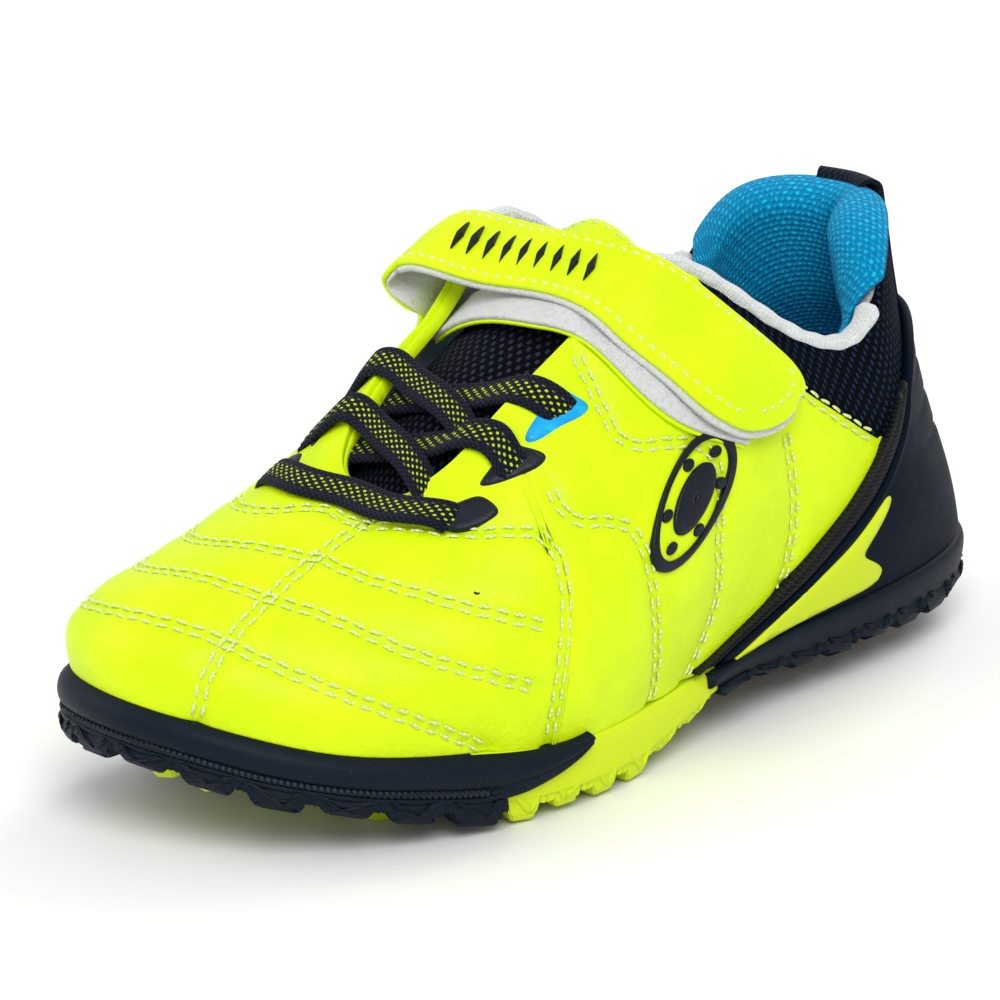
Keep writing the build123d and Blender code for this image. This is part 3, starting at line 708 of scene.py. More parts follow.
def quarter(name, side, rows, node):      # runs from the throat's foot to the middle of the heel
    stations = np.concatenate([np.linspace(1.12, 3.7, 40), [3.72, 3.745, 3.75, 3.77, 3.8],
                               np.linspace(3.84, 9.99, 150)])
    low = lambda t: np.where(t < 3.748, archTop(t) - 0.015, 0.03)
    if side < 0:
        stations = np.concatenate([np.linspace(10.01, 15.2, 130), [15.22, 15.25, 15.255, 15.28],
                                   np.linspace(15.3, 20.08, 70)])
        low = lambda t: np.where(t > 15.252, archTop(t - 19) - 0.015, 0.03)
    us = (stations - stations[0]) / (stations[-1] - stations[0])
    relief = quilting(rows + [archRow, toeRows[3]])
    piece = surfaceSheet(name, patch(stations[0], stations[-1], low, quarterHigh), us, fineDown, 0,
                         -edges["skin"],
                         neonUpper, 0.5, relief)
    fit(piece, "shoe", node)
    sewn(name + "Stitching", rows, upper, stitchLift, finishes["thread"], "shoe", node)


quarter("outerQuarter", 1, outerRows, "lateral_quarter")
quarter("innerQuarter", -1, innerRows, "medial_quarter")
# the panel is not cut: each perforation is a dark disc laid on top, painted shade inside the hole
for k, (t, h) in enumerate(perforations):
    holeShade = ovalPiece("breatherHoleShade%d" % k, (t, h), (0.032, 0.03), 0, 0.05, 1.0, 0.08, -0.05,
                     finishes["hookTape"], 0.03)
    fit(holeShade, "shoe", slot="vamp_panel")
print("panels and stitching made")


# ---- linings ----

liningPlaces = [("vampLining", -3.7, 3.68, "vamp_lining"), ("outerLining", 3.72, 6.6, "lateral_lining"),
                ("innerLining", 13.4, 15.26, "medial_lining")]
for name, t0, t1, node in liningPlaces:
    piece = surfaceSheet(name, patch(t0, t1, 0.05, 3.86), np.linspace(0, 1, 60), finePlaces(40, 70, 0.8),
                         -2.5, -3.2,
                         finishes["whiteKnit"], 0.3)
    fit(piece, "shoe", node)
for name, t0, t1, slot in (("innerFacing", 14.35, 18.6, "medial_quarter"),
                           ("toeFacing", 18.6, 21.0, "vamp_panel"),
                           # the panel's edge turned in round the throat
                           ("outerFacing", 2.0, 5.7, "lateral_quarter")):
    piece = surfaceSheet(name, patch(t0, t1, 3.74, 4.03), finePlaces(60, 60, 0.7), finePlaces(12, 6, 0.5),
                         -1.0, -3.4, neonUpper, 0.7,
                         None, (False, False))
    fit(piece, "shoe", slot=slot)


# ---- collar: outer net, white roll on the crest, brushed lining inside ----

collar = dict(front=5.55, back=14.45, crestRise=2.5, lining=3.2, padded=7.1, skin=0.8)


def collarDepth(t, h):
    swell = np.clip((h - 2.3) / 0.9, 0, 1) * np.clip(np.minimum(t - 6.62, 13.38 - t) / 0.9, 0, 1)
    return collar["lining"] + (collar["padded"] - collar["lining"]) * swell * swell * (3 - 2 * swell)


# the rounded top of the collar; angle 0 is its outer face and 180 the inner one
def crest(t, angle, proud=0.0):
    out = facing(upper, t, 3.86)
    up = upper(t, 3.92) - upper(t, 3.8)
    up /= np.linalg.norm(up, axis=-1, keepdims=True)
    pad = heelShare(t)[..., None]
    half = (collarDepth(t, 3.86) / 2)[..., None] + 0.5 * pad
    turn = np.radians(angle)[..., None]
    proud = np.asarray(proud, float)[..., None]
    return upper(t,
                 3.86) + out * ((half + proud) * np.cos(turn) - half) + up * (collar["crestRise"] + 1.0 * pad + proud) * np.sin(turn)


# soft folds where the padding bends round the heel, and its puffed parts between them
def creases(t, h):
    folds = sum(depth * np.exp(-((t - place - lean * (h - 3)) / wide) ** 2) for place, depth, wide, lean in
                ((7.6, 0.8, 0.1, 0.1), (9.86, 2.4, 0.16, -0.08), (12.4, 0.8, 0.1, -0.1),
                 (9.2, -2.0, 0.36, 0.0), (10.6, -1.3, 0.45, 0.0)))
    return folds * np.clip((h - 1.6) / 0.9, 0, 1)


def heelShare(t):       # 1 on the raised heel pad, 0 along the sides
    return np.clip((t - 8.2) / 0.35, 0, 1) * np.clip((11.8 - t) / 0.35, 0, 1)


def thicken(points, thickness):
    normals = np.cross(np.gradient(points, axis=0), np.gradient(points, axis=1))
    normals /= np.linalg.norm(normals, axis=-1, keepdims=True) + 1e-9
    return points + normals * thickness


def collarStrip(name, stations, heights, angles, proud, thickness, material, inside=False):
    t, h = np.meshgrid(stations, heights, indexing="ij")
    if inside:
        wall = raised(t, h,
                      -collarDepth(t, h) - 1.5 * heelShare(t) * np.clip((h - 1.8) / 1.6, 0,
                          1) ** 0.7 + creases(t, h))
    else:
        share = (h - heights[0]) / (heights[-1] - heights[0])
        bottom = quarterTop(t) - 0.07
        level = bottom + (3.86 - bottom) * share
        wall = raised(t, level, -0.55 + 0.55 * np.clip(share * 8, 0, 1))
    s, a = np.meshgrid(stations, angles, indexing="ij")
    if inside:      # over the heel the lining wraps right over the crest
        a = a + (180 - a) / 74 * -80 * heelShare(s)
        roll = crest(s, a, proud + 0.5 * heelShare(s)) + facing(upper, s,
                                        3.8) * (creases(s, 4.0) * np.clip((a - 60) / 120, 0, 1))[..., None]
    else:
        a = a * (1 - 0.5 * heelShare(s))
        roll = crest(s, a, proud)
    points = np.concatenate([roll, wall], 1) if inside else np.concatenate([wall, roll], 1)
    return sheetPiece(name, points, thicken(points, thickness), material)


round90 = np.linspace(4, 62, 8)
net = collarStrip("collarNet", np.linspace(6.2, 13.8, 170), np.linspace(0, 1, 34), round90, 0, -0.8,
                  finishes["collarNet"])
fit(net, "shoe", "collar_mesh")

# stuffed white roll along each side
for name, t0, t1 in (("outerRoll", collar["front"], 8.27), ("innerRoll", 20 - 8.27, collar["back"])):
    stations = np.linspace(t0, t1, 150)
    hook = np.clip((stations - 7.95) / 0.32, 0, 1) if t0 < 10 else np.clip((12.05 - stations) / 0.32, 0, 1)
    path = crest(stations, 58 - 10 * hook, 0.1) + np.stack([0 * hook, 0 * hook, 0.8 * hook], -1)
    ends = np.minimum(stations - t0, t1 - stations)
    girth = (1.9 + 0.45 * hook + 0.12 * np.sin(stations * 24)) * np.clip(0.35 + ends / 0.08, 0, 1) ** 0.5
    fit(tubePiece(name, path, girth, finishes["whiteKnit"], 20, 0.95), "shoe", slot="collar_mesh")

lining = collarStrip("heelLining", np.linspace(6.3, 13.7, 190), np.linspace(3.84, 0.05, 70),
                     np.linspace(106, 176, 16), 0, 0.7,
                     finishes["blueKnit"], True)
fit(lining, "shoe", "heel_lining")
print("collar made")


# ---- heel cup, edge strip, wedge, emblem, flags and pull tab ----

def cupRelief(points, u, v):
    t = 5.8 + 8.4 * u
    h = 0.02 + (cupTop(t) - 0.02) * v
    ridge = 0
    for level in (1.5, 1.9, 2.3):     # moulded grooves that fade out towards the sides
        ridge = ridge - 0.5 * np.exp(-((h - level - 0.12 * (t - 10) ** 2) / 0.05) ** 2)
    fade = np.clip(2.1 - np.abs(t - 10) / 0.9, 0, 1)
    lip = 0.5 * np.exp(-((1 - v) * np.maximum(cupTop(t), 0.3) / 0.1) ** 2)
    return ridge * fade + lip


cupPiece = surfaceSheet("heelCup", patch(5.8, 14.2, 0.02, cupTop), finePlaces(190, 190, 1.0),
                        finePlaces(70, 60, 1.0), 1.9, 0.3,
                        finishes["cupPlastic"], 1.1, cupRelief)
fit(cupPiece, "shoe", "heel_cup")

frontHeights = [0.06, 0.25, 0.55, 1.0, 1.45, 1.94, 2.3, 2.6, 2.75]
frontStations = [5.62, 6.23, 6.74, 7.14, 7.5, 7.83, 8.08, 8.32, 8.52]


def cupFront(h):
    line = curve(np.stack([frontHeights, frontStations], -1), np.linspace(0, 1, 60))
    return np.interp(h, line[:, 0], line[:, 1])


# two ridges with a channel between them, along the slanting front of the cup
def edgeStrip(name, side, node):
    def surface(u, v):
        h = 0.08 + 2.62 * u
        t = cupFront(h) + 0.02 - 0.26 * (1 - v)
        return upper(t if side > 0 else 20 - t, h + 0.03)

    def relief(points, u, v):
        return -side * (0.75 * np.abs(np.cos(v * 1.5 * math.pi)) ** 0.8 - 0.1)

    fit(surfaceSheet(name, surface, finePlaces(110, 80, 0.6), np.linspace(0, 1, 24), -side * 1.1, side * 0.3,
                     finishes["edgeStrip"], 0.5, relief), "shoe", node)


edgeStrip("outerEdgeStrip", 1, "lateral_edge_trim")
edgeStrip("innerEdgeStrip", -1, "medial_edge_trim")


def inlay(name, outline, top, bottom, material, spacing=0.9, roll=0.5, smooth=True, surface=upper,
          scale=(14.0, 14.0)):
    # a closed outline of (station, height) filled with a smooth raised piece
    corners = np.array(outline, float)
    if smooth:
        count = len(corners)
        controls = np.einsum("ij,jk->ik", splineInverse(count, True), corners)
        x = np.linspace(0, count, count * 10, endpoint=False)
        i = np.floor(x).astype(int)
        weight = basis(x - i)
        corners = sum(weight[:, k, None] * controls[(i + k - 1) % count] for k in range(4))
    flat = corners * scale
    step = np.linalg.norm(np.diff(flat, axis=0, append=flat[:1]), axis=1)
    run = np.concatenate([[0], np.cumsum(step)])
    closed = np.concatenate([flat, flat[:1]])
    marks = np.linspace(0, run[-1], max(12, int(run[-1] / spacing * 1.6)), endpoint=False)
    rim = np.stack([np.interp(marks, run, closed[:, k]) for k in range(2)], -1)
    x, y = np.meshgrid(np.arange(rim[:, 0].min(), rim[:, 0].max(), spacing),
                       np.arange(rim[:, 1].min(), rim[:, 1].max(), spacing))
    inner = np.stack([x.ravel() + 0.3 * spacing * (np.arange(x.size) % 2), y.ravel()], -1)
    gap = np.linalg.norm(inner[:, None] - rim[None], axis=-1).min(1)
    inner = inner[gap > spacing * 0.45]
    spots = [Vector(p) for p in np.concatenate([rim, inner])]
    edgeLoop = [(k, (k + 1) % len(rim)) for k in range(len(rim))]
    made, _, faces, _, _, _ = delaunay_2d_cdt(spots, edgeLoop, [], 1, 1e-5)
    flat = np.array([tuple(p) for p in made])
    t, h = (flat / scale).T
    normals = facing(surface, t, h)
    gap = np.linalg.norm(flat[:, None] - rim[None], axis=-1).min(1)
    share = np.clip(1 - gap / roll, 0, 1)
    sign = 1 if top > bottom else -1
    rise = top - sign * roll * (1 - np.sqrt(1 - share ** 2)) * 0.9
    spots = surface(t, h)
    verts = np.concatenate([spots + normals * rise[:, None], spots + normals * bottom])
    shift = len(spots)
    faces = [tuple(face) for face in faces]
    counted = {}
    for face in faces:
        for a, b in zip(face, face[1:] + face[:1]):
            counted[(a, b)] = True
    rimEdges = [(a, b) for a, b in counted if (b, a) not in counted]
    faces = faces + [tuple(i + shift for i in reversed(face)) for face in faces] + [(b, a, a + shift,
                                        b + shift) for a, b in rimEdges]
    cloth = np.concatenate([np.stack([flat[:, 0], flat[:, 1], 0 * t], -1)] * 2) * mm
    return makePiece(name, verts, faces, material, cloth)


wedgeOutline = [(5.98, 0.02), (6.5, 0.07), (7.1, 0.15), (7.5, 0.2), (7.66, 0.27), (7.7, 0.42), (7.6, 0.6),
                (7.47, 0.74), (7.45, 0.86),
                (7.56, 1.08), (7.72, 1.4), (7.74, 1.55), (7.64, 1.48), (7.4, 1.16), (7.1, 0.82), (6.7, 0.48),
                    (6.3, 0.2), (6.02, 0.07)]
for name, corners, node in (("outerWedge", wedgeOutline, "lateral_cup_wedge"),
                             ("innerWedge", [(20 - t, h) for t, h in reversed(wedgeOutline)],
                              "medial_cup_wedge")):
    fit(inlay(name, corners, 2.45, 1.2, finishes["neonRubber"], 0.8, 0.35), "shoe", node)


emblem = dict(centre=(5.32, 2.0), radii=(0.56, 0.42), slant=0.35)
ring = ovalPiece("emblemRing", emblem["centre"], emblem["radii"], emblem["slant"], 0.84, 1.0, 0.9, -0.2,
                 finishes["navyFilm"])
fit(ring, "shoe", "side_emblem")
core = ovalPiece("emblemCore", emblem["centre"], emblem["radii"], emblem["slant"], 0.02, 0.5, 0.9, -0.2,
                 finishes["navyFilm"])
fit(core, "shoe", slot="side_emblem")
for k in range(6):      # short spokes between core and ring
    angle = math.pi * (k / 3 + 1 / 6)
    x, y = math.cos(angle) * 0.68 * emblem["radii"][0], math.sin(angle) * 0.68 * emblem["radii"][1]
    spot = (emblem["centre"][0] + x, emblem["centre"][1] + y + emblem["slant"] * x)
    dot = ovalPiece("emblemDot%d" % k, spot, (0.06, 0.05), 0, 0.05, 1.0, 0.8, -0.2, finishes["navyFilm"])
    fit(dot, "shoe", slot="side_emblem")


flags = [("Top",
          [(3.9, 3.5), (4.0, 3.38), (4.25, 3.33), (4.46, 3.27), (4.58, 3.3), (4.5, 3.48), (4.4, 3.62),
              (4.15, 3.6)], "blueFilm"),
         ("Middle",
          [(3.12, 3.42), (3.35, 3.3), (3.7, 3.2), (3.92, 3.15), (4.02, 3.22), (3.8, 3.48), (3.68, 3.56),
              (3.4, 3.52)], "navyFilm"),
         ("Bottom",
          [(2.36, 3.24), (2.5, 3.1), (2.78, 2.95), (3.1, 2.96), (3.26, 3.02), (3.15, 3.22), (2.95, 3.32),
              (2.6, 3.32)], "navyFilm")]
for place, corners, finishName in flags:
    for side, slot in (("outer", "lateral_eyelet_patches"), ("inner", "medial_eyelet_patches")):
        corners = corners if side == "outer" else [(mirrorStation(t), h) for t, h in reversed(corners)]
        piece = inlay(side + "Flag" + place, corners, 0.5, -0.6, finishes[finishName], 0.7, 0.3)
        fit(piece, "shoe", *([slot] if place == "Top" else []), slot=slot)

rise = np.array([0, 0, 1.0])
tabRows = [[raised(t, 2.7, 1.3), raised(t, 3.2, 1.4), raised(t, 3.6, 1.5), raised(t, 3.92, 1.5),
            raised(t, 3.97, 1.0) + rise * 1.6,
            raised(t, 3.97, -0.5) + rise * 2.7, raised(t, 3.97, -2.0) + rise * 2.8,
                raised(t, 3.97, -3.2) + rise * 1.6]
           for t in (9.68, 10, 10.32)]
tab = surfaceSheet("pullTab", gridSurface(tabRows), finePlaces(60, 40, 0.6), finePlaces(14, 14, 0.6), 0.6,
                   -0.5, finishes["navyTape"], 0.4)
fit(tab, "shoe", "pull_tab")
print("heel and trims made")


# ---- rubber sole ----

sole = dict(frontTail=(3.05, 4.16), innerTail=(-3.05, -4.16), heelStart=5.62, heelEnd=14.38)
plateProfile = [(-112, 19.5), (-100, 15.6), (-87, 10.8), (-72, 7.4), (-54, 5.6), (-33, 5), (-9, 5), (40, 5),
                (89, 5.4), (112, 6.4)]


def groundLevel(y):     # the toe springs clear of the ground
    return np.interp(-y, [58, 72, 87, 100], [0, 2, 5.6, 10.2])


edgeProfile = [(-101, 6.4), (-97, 5.6), (-88, 4.6), (-75, 4.0), (-60, 3.0), (-44, 0.4), (-14, 0.2), (0, 3.8),
               (8, 6.6), (18, 8.2),
               (34, 6.2), (62, 5.4), (84, 5.8), (96, 7.2)]


def edgeLift(y):        # the edge lugs are rounded off: only the studs inside them reach the ground
    return np.interp(y, [p[0] for p in edgeProfile], [p[1] for p in edgeProfile])


def plateLevel(y):
    return np.interp(y, [p[0] for p in plateProfile], [p[1] for p in plateProfile])


def outline(t):     # featherline and the way out of the shoe, level with the ground
    ahead = upper(t + 0.05, 0) - upper(t - 0.05, 0)
    out = np.stack([ahead[..., 1], -ahead[..., 0], np.zeros(np.shape(t))], -1)
    return upper(t, 0), out / np.linalg.norm(out, axis=-1, keepdims=True)


def wall(t, out, drop):       # a point of the sole's side; drop 0 is the featherline and 1 the ground
    edge, away = outline(t)
    floorLevel = groundLevel(edge[..., 1]) + edgeLift(edge[..., 1])
    point = edge + away * np.asarray(out, float)[..., None]
    point[..., 2] = edge[..., 2] + (floorLevel - edge[..., 2]) * np.asarray(drop, float)
    return point


# Side profile of each zone as (distance out, share of the height down to the ground)
frontProfile = [(-1.6, 0.62), (-1.6, 0.0), (-0.8, -0.045), (0.3, -0.045), (1.3, 0.0), (2.2, 0.07),
                (2.75, 0.17), (2.9, 0.28),
                (2.6, 0.38), (2.0, 0.43), (1.2, 0.445), (1.0, 0.49), (1.2, 0.535), (2.2, 0.55), (2.45, 0.6),
                    (1.6, 0.66)]
waistProfile = [(-1.6, 0.62), (-1.6, 0.0), (-0.7, -0.05), (0.3, -0.05), (0.9, 0.0), (1.2, 0.1), (1.35, 0.25),
                (1.4, 0.4),
                (1.35, 0.55), (0.9, 0.66)]
heelProfile = [(-1.6, 0.62), (-1.6, 0.0), (-0.6, -0.04), (1.0, -0.04), (2.1, 0.0), (2.6, 0.06), (2.8, 0.16),
               (2.7, 0.3),
               (2.5, 0.42), (2.2, 0.55), (1.4, 0.64)]


def smoothProfile(profile, count=34):
    loop = np.array(profile + profile[:1], float)
    line = curve(loop, np.linspace(0, 1, count + 1))[:-1]
    return line


def sweptBand(name, stations, profile, material, node=None, slot=None, shape=None):
    line = smoothProfile(profile)
    t, k = np.meshgrid(stations, np.arange(len(line)), indexing="ij")
    out, drop = line[k, 0], line[k, 1]
    if shape is not None:
        out, drop = shape(t, out, drop)
    points = wall(t, out, drop)
    nu, nv = points.shape[:2]
    faces = gridFaces(nu, nv, 0, False)
    faces += [(i * nv + nv - 1, (i + 1) * nv + nv - 1, (i + 1) * nv, i * nv) for i in range(nu - 1)]
    faces += [tuple(range(nv)), tuple(range((nu - 1) * nv + nv - 1, (nu - 1) * nv - 1, -1))]
    cloth = np.stack([lengths(points, 0), lengths(points, 1), 0 * t], -1).reshape(-1, 3) * mm
    piece = makePiece(name, points.reshape(-1, 3), faces, material, cloth)
    return fit(piece, "shoe", *([node] if node else []), slot=slot)


def frontTails(t, out, drop):     # the navy band runs out in a rounded tail on each side
    outer = np.clip((t - sole["frontTail"][0]) / (sole["frontTail"][1] - sole["frontTail"][0]), 0, 1)
    inner = np.clip((sole["innerTail"][0] - t) / (sole["innerTail"][0] - sole["innerTail"][1]), 0, 1)
    fade = np.maximum(outer, inner)
    groove = np.where((drop > 0.42) & (drop < 0.56) & (out > 0), np.clip(fade * 4, 0, 1), 0)
    out = out + (2.6 - out) * groove
    shrink = 1 - 0.72 * fade ** 1.25
    lift = np.where(out > 0, 0.35 * fade ** 6, 0)
    return out + np.where(out > 0.5, 0.55 * fade * (1 - fade ** 5),
                          0), drop * shrink - 0.12 * fade ** 3 - lift * 0.1


frontStations = np.concatenate([np.linspace(-4.16, -3.03, 50), np.linspace(-3.0, 3.0, 194),
                                np.linspace(3.03, 4.16, 50)])
sweptBand("frontBumper", frontStations, frontProfile, finishes["navyRubber"], "outsole_forefoot",
          shape=frontTails)
waistOuter = sweptBand("waistOuter", np.linspace(3.0, 5.75, 90), waistProfile, finishes["neonRubber"],
                       "outsole_midfoot")
waistInner = sweptBand("waistInner", np.linspace(14.25, 17.0, 90), waistProfile, finishes["neonRubber"],
                       slot="outsole_midfoot")


def heelTails(t, out, drop):
    fade = np.clip(1 - np.minimum(t - sole["heelStart"], sole["heelEnd"] - t) / 0.75, 0, 1)
    return out + np.where(out > 0.5, 0.3 * fade, 0), drop * (1 - 0.42 * fade ** 1.4)


heelBand = sweptBand("heelBand", np.linspace(sole["heelStart"], sole["heelEnd"], 200), heelProfile,
                     finishes["navyRubber"],
                     "outsole_heel", shape=heelTails)

# A moulded cord lies in the groove of the front band
cordStations = np.linspace(-2.9, 3.12, 420)
for strand in range(2):
    turn = np.arange(420) / 420 * 2 * math.pi * 62 + strand * math.pi
    base = wall(cordStations, 1.75 + 0.42 * np.cos(turn), 0.49 + 0.026 * np.sin(turn))
    fit(tubePiece("ropeStrand%d" % strand, base, 0.52, finishes["cord"], 8), "shoe", slot="outsole_forefoot")


# faceted blocks, each the hull of its points, edges eased
def hulls(name, shapes, material, slot, bevel=0.35):
    mesh = bpy.data.meshes.new(name)
    whole = bmesh.new()
    for points in shapes:
        block = bmesh.new()
        verts = [block.verts.new(Vector(p) * mm) for p in points]
        made = bmesh.ops.convex_hull(block, input=verts)
        loose = {v for v in made["geom_interior"] + made["geom_unused"] if isinstance(v, bmesh.types.BMVert)}
        bmesh.ops.delete(block, geom=list(loose), context="VERTS")
        bmesh.ops.dissolve_limit(block, angle_limit=0.02, verts=block.verts, edges=block.edges)
        bmesh.ops.bevel(block, geom=list(block.edges), offset=bevel * mm, segments=2, affect="EDGES",
                        clamp_overlap=True)
        part = bpy.data.meshes.new("block")
        block.to_mesh(part)
        block.free()
        whole.from_mesh(part)
        bpy.data.meshes.remove(part)
    bmesh.ops.recalc_face_normals(whole, faces=whole.faces)
    whole.to_mesh(mesh)
    whole.free()
    mesh.materials.append(material)
    piece = bpy.data.objects.new(name, mesh)
    bpy.context.scene.collection.objects.link(piece)
    return fit(piece, "shoe", slot=slot)


# faceted lugs round the edge of the sole
def edgeLugs(t0, t1, pitch, top, proud, depth, foot, lean=0.0):
    stations = np.linspace(t0, t1, 400)
    run = np.concatenate([[0], np.cumsum(np.linalg.norm(np.diff(wall(stations, 2.0, 0.8), axis=0), axis=1))])
    count = max(2, round(run[-1] / pitch))
    step = run[-1] / count
    shapes = []
    for k in range(count):
        middle = (k + 0.5) * step

        def spot(share, out, drop):
            return wall(np.array(np.interp(middle + share * step, run, stations)), np.array(float(out)),
                        np.array(drop))

        swing, deep = ((0.12, 1.0), (-0.08, 0.93), (0.04, 0.97))[k % 3]
        shapes.append([spot(-0.5, proud - 0.5, top), spot(0.5, proud - 0.5, top),
                       spot(-0.47, proud - 0.1, top + 0.1),
                       spot(0.47, proud - 0.1, top + 0.1), spot(swing + lean, proud + 0.3, top + 0.22),
                       spot(-foot / 2 - 0.03, proud - 0.4, deep - 0.08),
                           spot(foot / 2 + 0.03, proud - 0.4, deep - 0.08),
                       spot(-foot / 2 + 0.04, proud - 1.1, deep), spot(foot / 2 - 0.04, proud - 1.1, deep),
                       spot(-foot / 2 + 0.05, -depth + 1, deep), spot(foot / 2 - 0.05, -depth + 1, deep),
                       spot(-0.46, -depth, 0.6), spot(0.46, -depth, 0.6)])
        low = swing + lean * 2
        # two ridges meet in a V on the face of each lug, and slanting ribs stand between the lugs
        for side in (-1, 1):
            shapes.append([spot(side * 0.46, proud, top + 0.02), spot(side * 0.26, proud, top + 0.02),
                           spot(side * 0.36, proud + 0.75, top + 0.1),
                               spot(low - 0.09, proud - 0.2, deep - 0.12),
                           spot(low + 0.09, proud - 0.2, deep - 0.12), spot(low, proud + 0.55, deep - 0.2),
                           spot(side * 0.3, proud - 1.2, top + 0.1), spot(low, proud - 1.6, deep - 0.15)])
            shapes.append([spot(side * 0.5, proud - 0.6, top), spot(side * 0.34, proud + 0.15, top + 0.05),
                           spot(side * 0.5, proud - 0.1, 0.8), spot(side * 0.6, proud - 0.8, 0.72),
                               spot(side * 0.42, -1, 0.74),
                           spot(side * 0.3, proud - 0.1, 0.76)])
    return shapes


hulls("frontLugs", edgeLugs(-3.1, 3.3, 12.5, 0.545, 2.45, 7.5, 0.66), finishes["navyRubber"],
      "outsole_forefoot")
hulls("heelLugs", edgeLugs(5.75, 14.25, 10.5, 0.5, 2.3, 6.5, 0.6, 0.12), finishes["navyRubber"],
      "outsole_heel", 0.3)
waistLugs = edgeLugs(3.25, 5.7, 10.5, 0.42, 0.9, 6.0, 0.5) + edgeLugs(14.3, 16.75, 10.5, 0.42, 0.9, 6.0, 0.5)
hulls("waistLugs", waistLugs, finishes["neonRubber"], "outsole_midfoot", 0.3)


def plate(name, y0, y1, material, slot):      # the tread's floor between the studs
    ys = np.linspace(y0, y1, 50)
    outer = upper(np.linspace(-0.4, 10, 240), 0)
    inner = upper(np.linspace(18.9, 10, 240), 0)
    right = np.interp(ys, outer[:, 1], outer[:, 0]) - 0.9
    left = np.interp(ys, inner[:, 1], inner[:, 0]) + 0.9
    y, s = np.meshgrid(ys, np.linspace(0, 1, 26), indexing="ij")
    x = left[:, None] + (right - left)[:, None] * s
    ripple = 0.35 * np.cos((x + y) * 2 * math.pi / 9) * np.cos((x - y) * 2 * math.pi / 9)
    floorLevel = plateLevel(y) + 0.9 + 0.72 * edgeLift(y)
    low = np.stack([x, y, floorLevel + ripple], -1)
    high = np.stack([x, y, floorLevel + 2.5 + 0 * x], -1)
    return fit(sheetPiece(name, low, high, material), "shoe", slot=slot)


plate("frontTread", -97.5, -33, finishes["navyRubber"], "outsole_forefoot")
plate("waistTread", -33, 16, finishes["neonRubber"], "outsole_midfoot")
plate("heelTread", 16, 96.5, finishes["navyRubber"], "outsole_heel")


def innerStuds(rows):
    outer = upper(np.linspace(0, 10, 240), 0)
    inner = upper(np.linspace(19, 10, 240), 0)
    shapes = []
    for y, count in rows:
        right = np.interp(y, outer[:, 1], outer[:, 0]) - 12.5
        left = np.interp(y, inner[:, 1], inner[:, 0]) + 12.5
        for k in range(count):
            share = (k + 0.5) / count
            x = left + (right - left) * share
            at = y - 4 * math.sin(share * math.pi) * (1 if y < 0 else -1)
            turn = 0.3 + 0.25 * k
            low = groundLevel(at) + edgeLift(at) * np.interp(at, [-66, -60, -8, 0, 20, 30],
                                        [1.0, 0, 0, 0.6, 0.6, 0])
            high = plateLevel(at) + 2.2 + 0.72 * edgeLift(at)
            shapes.append([(x + r * math.cos(turn + j * math.pi / 3),
                            at + r * math.sin(turn + j * math.pi / 3), z)
                           for r, z in ((3.3, low), (4.5, high)) for j in range(6)])
    return shapes


hulls("frontStuds", innerStuds([(-84, 3), (-71, 3), (-57, 4), (-43, 4)]), finishes["neonRubber"],
      "outsole_forefoot")
hulls("waistStuds", innerStuds([(-27, 3), (-12, 2), (3, 2)]), finishes["neonRubber"], "outsole_midfoot")
hulls("heelStuds", innerStuds([(26, 2), (42, 2), (58, 2), (74, 2)]), finishes["navyRubber"], "outsole_heel")
print("sole made")


# ---- inside of the shoe ----

# a level with the shoe's outline, set in from it
def footbed(name, margin, low, high, material, node, crown=0.0, roll=1.0):
    ys = np.concatenate([np.linspace(-92, -84, 10), np.linspace(-82, 82, 80), np.linspace(84, 91.5, 8)])
    t = np.linspace(-0.4, 10, 300)
    edge, away = outline(t)
    outer = edge - away * margin
    t = np.linspace(18.9, 10, 300)
    edge, away = outline(t)
    inner = edge - away * margin
    right = np.interp(ys, outer[:, 1], outer[:, 0])
    left = np.interp(ys, inner[:, 1], inner[:, 0])
    level = np.interp(ys, [-112, -98, -87, -76, -54, -33, -9, 17, 40, 65, 89, 112],
                      [28.2, 25.6, 22, 17.6, 13.9, 12, 12, 13.4, 14.4, 15.4, 16.4, 17])
    s = finePlaces(22, 60, 1.2)
    x = left[:, None] + (right - left)[:, None] * s
    y = np.repeat(ys[:, None], len(s), 1)
    edgeDrop = rolledEdge(np.stack([x, y, 0 * x], -1), roll)
    bowl = crown * (2 * s[None] - 1) ** 4 * np.clip((y - -20) / 60, 0, 1)
    top = np.stack([x, y, level[:, None] + high + bowl - edgeDrop], -1)
    bottom = np.stack([x, y, level[:, None] + low + 0 * x], -1)
    return fit(sheetPiece(name, top, bottom, material), "shoe", node)


insole = footbed("insolePad", 4.9, 2.1, 5.2, finishes["blueKnit"], "insole", 1.6)
footbed("lastingBoard", 4.5, 0.4, 1.7, finishes["board"], "lasting_board")


# ---- tongue ----

tongueRows = [
    [(-15, -46, 45.5), (-8, -45, 47.8), (0, -44, 48.8), (8, -43.5, 48.3), (14, -43, 46)],
    [(-21, -24, 56), (-13, -25, 62), (-2, -26, 65.2), (9, -24, 63), (17, -22, 57)],
    [(-23.5, -6, 63.5), (-15.5, -8, 71), (-3, -10, 74.8), (9, -8, 72), (19.5, -5, 65.5)],
    [(-22, 10, 73), (-15, 8, 79), (-4, 5, 82.5), (9, 7, 80), (18, 10, 74)],
    [(-19, 20, 83), (-12, 21, 87), (-4, 20, 89.5), (5.5, 18, 87.5), (12.5, 17, 84)],
]
tongueSurface = gridSurface(tongueRows)


def tonguePuff(points, u, v):       # padding swells between the sides, and dips where it is sewn at the top
    return 1.1 * (np.clip(edgeDistance(points) / 9, 0, 1) ** 0.6) - 0.6 * np.exp(-((v - 0.83) / 0.012) ** 2)


